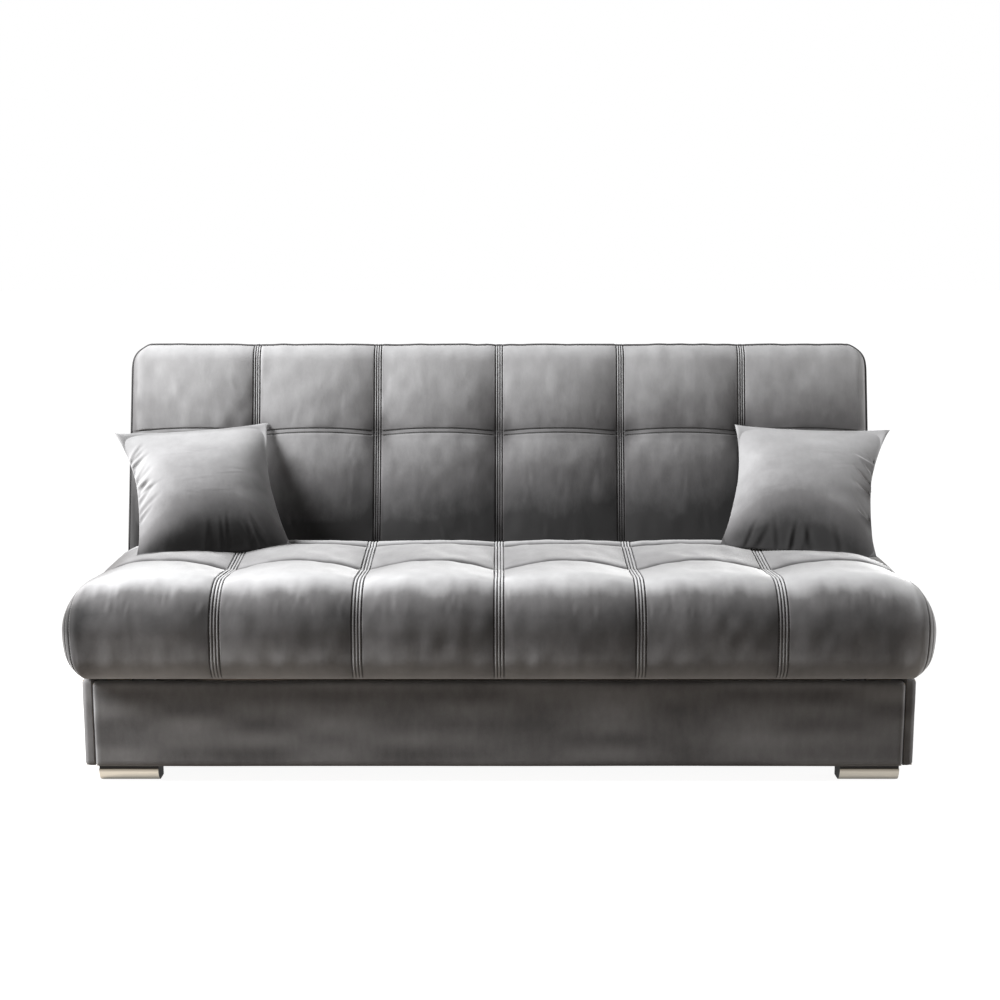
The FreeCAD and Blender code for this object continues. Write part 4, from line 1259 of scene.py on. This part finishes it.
def wrapped_panel(name, node, open_way, seed):
    """Fabric over thin wadding round a board: a soft box with a rounded rim, open where the board shows."""
    low, high = (np.array(corner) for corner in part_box(node))
    points = []
    faces = []
    for axis in range(3):
        for end in (0, 1):
            way = axis + 1 if end else -axis - 1
            sides = [k for k in range(3) if k != axis]
            counts = [max(2, int((high[k] - low[k]) / PANEL_GRID) + 1) for k in sides]
            lines = [np.linspace(low[k], high[k], count) for k, count in zip(sides, counts)]
            p, q = np.meshgrid(*lines, indexing="ij")
            face = np.zeros(p.shape + (3,))
            face[..., axis] = (high if end else low)[axis]
            face[..., sides[0]] = p
            face[..., sides[1]] = q
            quads = grid_faces(*counts, False)
            if way == open_way:
                face[..., axis] += PANEL_FOLD_LIFT if end else -PANEL_FOLD_LIFT
                middle = face.reshape(-1, 3)[quads].mean(1)
                rim = np.minimum(middle - low, high - middle)[:, sides].min(1)
                quads = quads[rim < PANEL_FOLD]
            quads = quads + sum(len(part) for part in points)
            flip = (end == 1) == (axis == 1)
            faces.append(quads if flip else quads[:, ::-1])
            points.append(face.reshape(-1, 3))
    points = np.concatenate(points)
    inner_low = low + PANEL_ROUND
    inner_high = high - PANEL_ROUND
    back_axis = abs(open_way) - 1
    if open_way > 0:
        inner_high[back_axis] = high[back_axis]
    else:
        inner_low[back_axis] = low[back_axis]
    core = np.clip(points, inner_low, np.maximum(inner_low, inner_high))
    away = points - core
    length = np.linalg.norm(away, axis=1, keepdims=True)
    outward = away / np.maximum(length, 1e-9)
    long_way, short_way = points[:, 0] + points[:, 1], points[:, 2]
    soft = clouds(long_way, short_way, seed, PANEL_WAVE_SIZE, PANEL_WAVE_SHIFT) * PANEL_WAVE
    points = np.where(length > 1e-9, core + outward * (PANEL_ROUND + soft[:, None]), points)
    made = mesh_object(name, points, np.concatenate(faces))
    patches = clouds(long_way, short_way, seed + 1, PANEL_PATCH_SIZE, PANEL_PATCH_SHIFT)
    # Painted shade over the whole panel, with random patches of brushing
    paint(made, "nap", PANEL_PAINTED_SHADE + PANEL_PATCH_TONE * patches)
    merge = made.modifiers.new("joined", "WELD")
    merge.merge_threshold = PANEL_JOIN
    return plain_mesh(made)


def lining_sheet(quilt, recess, radius):
    """Thin lining stapled under a frame, a little rippled between its edges."""
    x = np.linspace(-RECESS_HALF_WIDTH, RECESS_HALF_WIDTH, LINING_GRID[0])
    a = np.linspace(*recess, LINING_GRID[1])
    across, along = np.meshgrid(x, a, indexing="ij")
    edge = np.minimum(RECESS_HALF_WIDTH - np.abs(across), np.minimum(along - a[0], a[-1] - along))
    ripple = np.abs(clouds(across, along, LINING_RIPPLE_SEED, LINING_RIPPLE_SIZE, LINING_RIPPLE_SHIFT))
    ripple = ripple * (1 - np.exp(-edge / LINING_EDGE))
    level = -radius + LINING_DEPTH - LINING_RIPPLE * ripple
    points = np.stack([across, along, level], -1).reshape(-1, 3)
    faces = grid_faces(*LINING_GRID, False)
    middle = points[faces].mean(1)
    slot = (np.abs(middle[:, 0]) > SLOT_X[0]) & (middle[:, 1] < SLOT_LINING)
    name = quilt.name.replace("upholstery", "lining_sheet")
    made = mesh_object(name, quilt.to_sofa(points), faces[~slot])
    return made, (2 * RECESS_HALF_WIDTH, recess[1] - recess[0])


def add_camera():
    data = bpy.data.cameras.new("camera")
    data.lens = CAMERA_LENS
    data.sensor_width = CAMERA_SENSOR
    data.shift_x, data.shift_y = CAMERA_SHIFT
    made = placed("camera", data)
    made.location = CAMERA_PLACE
    made.rotation_euler = (math.pi / 2 - CAMERA_PITCH, 0, 0)
    bpy.context.scene.camera = made


def add_light(name, place, target, size, power, colour):
    data = bpy.data.lights.new(name, "AREA")
    data.shape = "RECTANGLE"
    data.size, data.size_y = size
    data.energy = power
    data.color = colour
    made = placed(name, data)
    made.location = place
    made.rotation_euler = (Vector(target) - Vector(place)).to_track_quat("-Z", "Y").to_euler()


def rays(start):
    """1 for what the camera sees directly, and 1 for what a glossy face mirrors."""
    return [start.node("ShaderNodeLightPath", output=f"Is {kind} Ray") for kind in ("Camera", "Glossy")]


def add_stage():
    """Pale floor that fades to white, white surroundings and soft light from above."""
    floor = mesh_object("floor", FLOOR_CORNERS, [(0, 1, 2, 3)])

    def build(start, place):
        oval = stretched(start, place, FLOOR_OVAL)
        away = start.node("ShaderNodeVectorMath", {"operation": "LENGTH"}, output="Value", _0=oval)
        far = start.node(
            "ShaderNodeMapRange", {"interpolation_type": "SMOOTHSTEP"},
            Value=away, From_Min=FLOOR_FADE[0], From_Max=FLOOR_FADE[1],
        )
        seen, mirrored = rays(start)
        pale = noise(start, place, 3.0).ramp((0.3, FLOOR_SHADES[0]), (0.7, FLOOR_SHADES[1]))
        glow = mixed(start, far, FLOOR_GLOW, WHITE)
        return {
            "Base Color": mixed(start, seen, FLOOR_BOUNCE, mixed(start, far, pale, BLACK)),
            "Emission Color": mixed(start, seen + mirrored * FLOOR_MIRRORED, BLACK, glow),
            "Roughness": 0.9,
        }

    floor.data.materials.append(material("pale_floor", build, Emission_Strength=1.0))
    world = bpy.data.worlds.new("studio")
    world.use_nodes = True
    seen, mirrored = rays(Term(world.node_tree))
    strength = AMBIENT + seen * (1.0 - AMBIENT) + mirrored * MIRRORED
    backdrop = world.node_tree.nodes["Background"]
    backdrop.inputs["Color"].default_value = WHITE
    strength.feed(backdrop.inputs["Strength"], strength)
    scene = bpy.context.scene
    scene.world = world
    scene.view_settings.view_transform = "Standard"
    for name, light in LIGHTS.items():
        add_light(name, *light)


def give(piece, finish, body, stands_for):
    """Gives a piece its material, says what it rides on and hides the parts it stands for."""
    piece.data.materials.clear()
    piece.data.materials.append(finish)
    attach(piece, body)
    if stands_for:
        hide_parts(*stands_for)
    return piece


add_camera()
add_stage()
upholstery = velour("velour", GREY_DARK, GREY_LIGHT)
sewing = stitch_tree(thread("sewing_thread", (0.05, 0.05, 0.05), (0.22, 0.22, 0.22)))
lining = non_woven("spun_lining", (0.010, 0.010, 0.011), (0.045, 0.045, 0.048))

seat = seat_quilt()
back = back_quilt()
seat_radius = seat.outline.circles[0][2]
seat_piece = seat.build(underside_cut(SEAT_RECESS, SEAT_SWING, seat_radius))
back_piece = back.build(underside_cut(BACK_RECESS, BACK_SWING, BACK_HINGE_RADIUS))
for body, piece in (("seat", seat_piece), ("back", back_piece)):
    give(piece, upholstery, body, [body + "_cover", body + "_foam"])
give(back_piping(back), upholstery, "back", [])
end_lines = [side * (seat.edge + line) for side in (-1, 1) for line in END_LINES]
seat_thread = sewn("seat_stitches", stitch_lines(seat, seat.band_places() + end_lines, seat.rows), sewing)
back_rows = [row + side * line for row in back.rows for line in back.row_lines for side in (-1, 1)]
back_thread = sewn("back_stitches", stitch_lines(back, back.band_places(), back_rows), sewing)
for body, piece in (("seat", seat_thread), ("back", back_thread)):
    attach(piece, body)
for quilt, recess, radius, body in (
    (seat, SEAT_RECESS, seat_radius, "seat"), (back, BACK_RECESS, BACK_HINGE_RADIUS, "back"),
):
    sheet, flat = lining_sheet(quilt, recess, radius)
    give(sheet, lining, body, [body + "_lining"])
    body + "_hinge_rail"
    body + "_free_rail"
for side, outer in (("left", -1), ("right", 1)):
    cushion = scatter_cushion(side, outer, seat_piece, back_piece)
    stands_for = ["cushion_cover_" + side, "cushion_filling_" + side]
    give(cushion, upholstery, "cushion_" + side, stands_for)
for node, open_way, seed in (
    ("front_cover", 2, 51), ("side_cover_left", 1, 53), ("side_cover_right", -1, 55),
):
    panel = wrapped_panel(node.replace("cover", "panel_fabric"), node, open_way, seed)
    give(panel, upholstery, "base", [node])

pine = (0.52, 0.34, 0.17), (0.68, 0.49, 0.28)
along = [timber("pine_" + "xyz"[axis], axis, *pine) for axis in range(3)]
slat_wood = timber("slat_wood", 1, (0.60, 0.42, 0.24), (0.74, 0.58, 0.38))
chipboard = pressed_board("chipboard", (0.36, 0.27, 0.17), (0.58, 0.46, 0.31), 260.0)
# The box floor's board is painted very dark brown, as painted shade inside the box
hardboard = pressed_board("hardboard", (0.045, 0.030, 0.020), (0.085, 0.058, 0.040), 700.0)
hinge_steel = metal("hinge_steel", (0.05, 0.05, 0.052), (0.11, 0.11, 0.112), 0.42, 1, 0.6)
bolt_steel = metal("bolt_steel", (0.42, 0.42, 0.43), (0.62, 0.61, 0.58), 0.28)
# Foot trim with a painted reflection over its height
trim_steel = satin_strip("trim_steel", "foot_trims", (0.20, 0.18, 0.15), (0.84, 0.80, 0.71))
foot_plastic = moulded("foot_plastic", (0.008, 0.008, 0.008), (0.022, 0.021, 0.02))
holder_plastic = moulded("holder_plastic", (0.03, 0.03, 0.03), (0.06, 0.06, 0.06))
FINISHES = {
    "front_board": chipboard, "side_board": chipboard, "rear_board": chipboard, "box_floor": hardboard,
    "floor_battens": along[1], "corner_blocks": along[2], "hinge_rail": along[0], "free_rail": along[0],
    "centre_rail": along[1], "end_rail": along[1], "slat_holders": holder_plastic, "slats": slat_wood,
    "hinge_plate": hinge_steel, "hinge_arm": hinge_steel, "bolts": bolt_steel, "screws": bolt_steel,
    "pins": bolt_steel, "washers": bolt_steel, "foot_trims": trim_steel, "foot_front": foot_plastic,
    "foot_rear": foot_plastic,
}
for name, node in nodes.items():
    finish = next((made for words, made in FINISHES.items() if words in name), None)
    if finish:
        for holder in node.material_slots:
            holder.material = finish
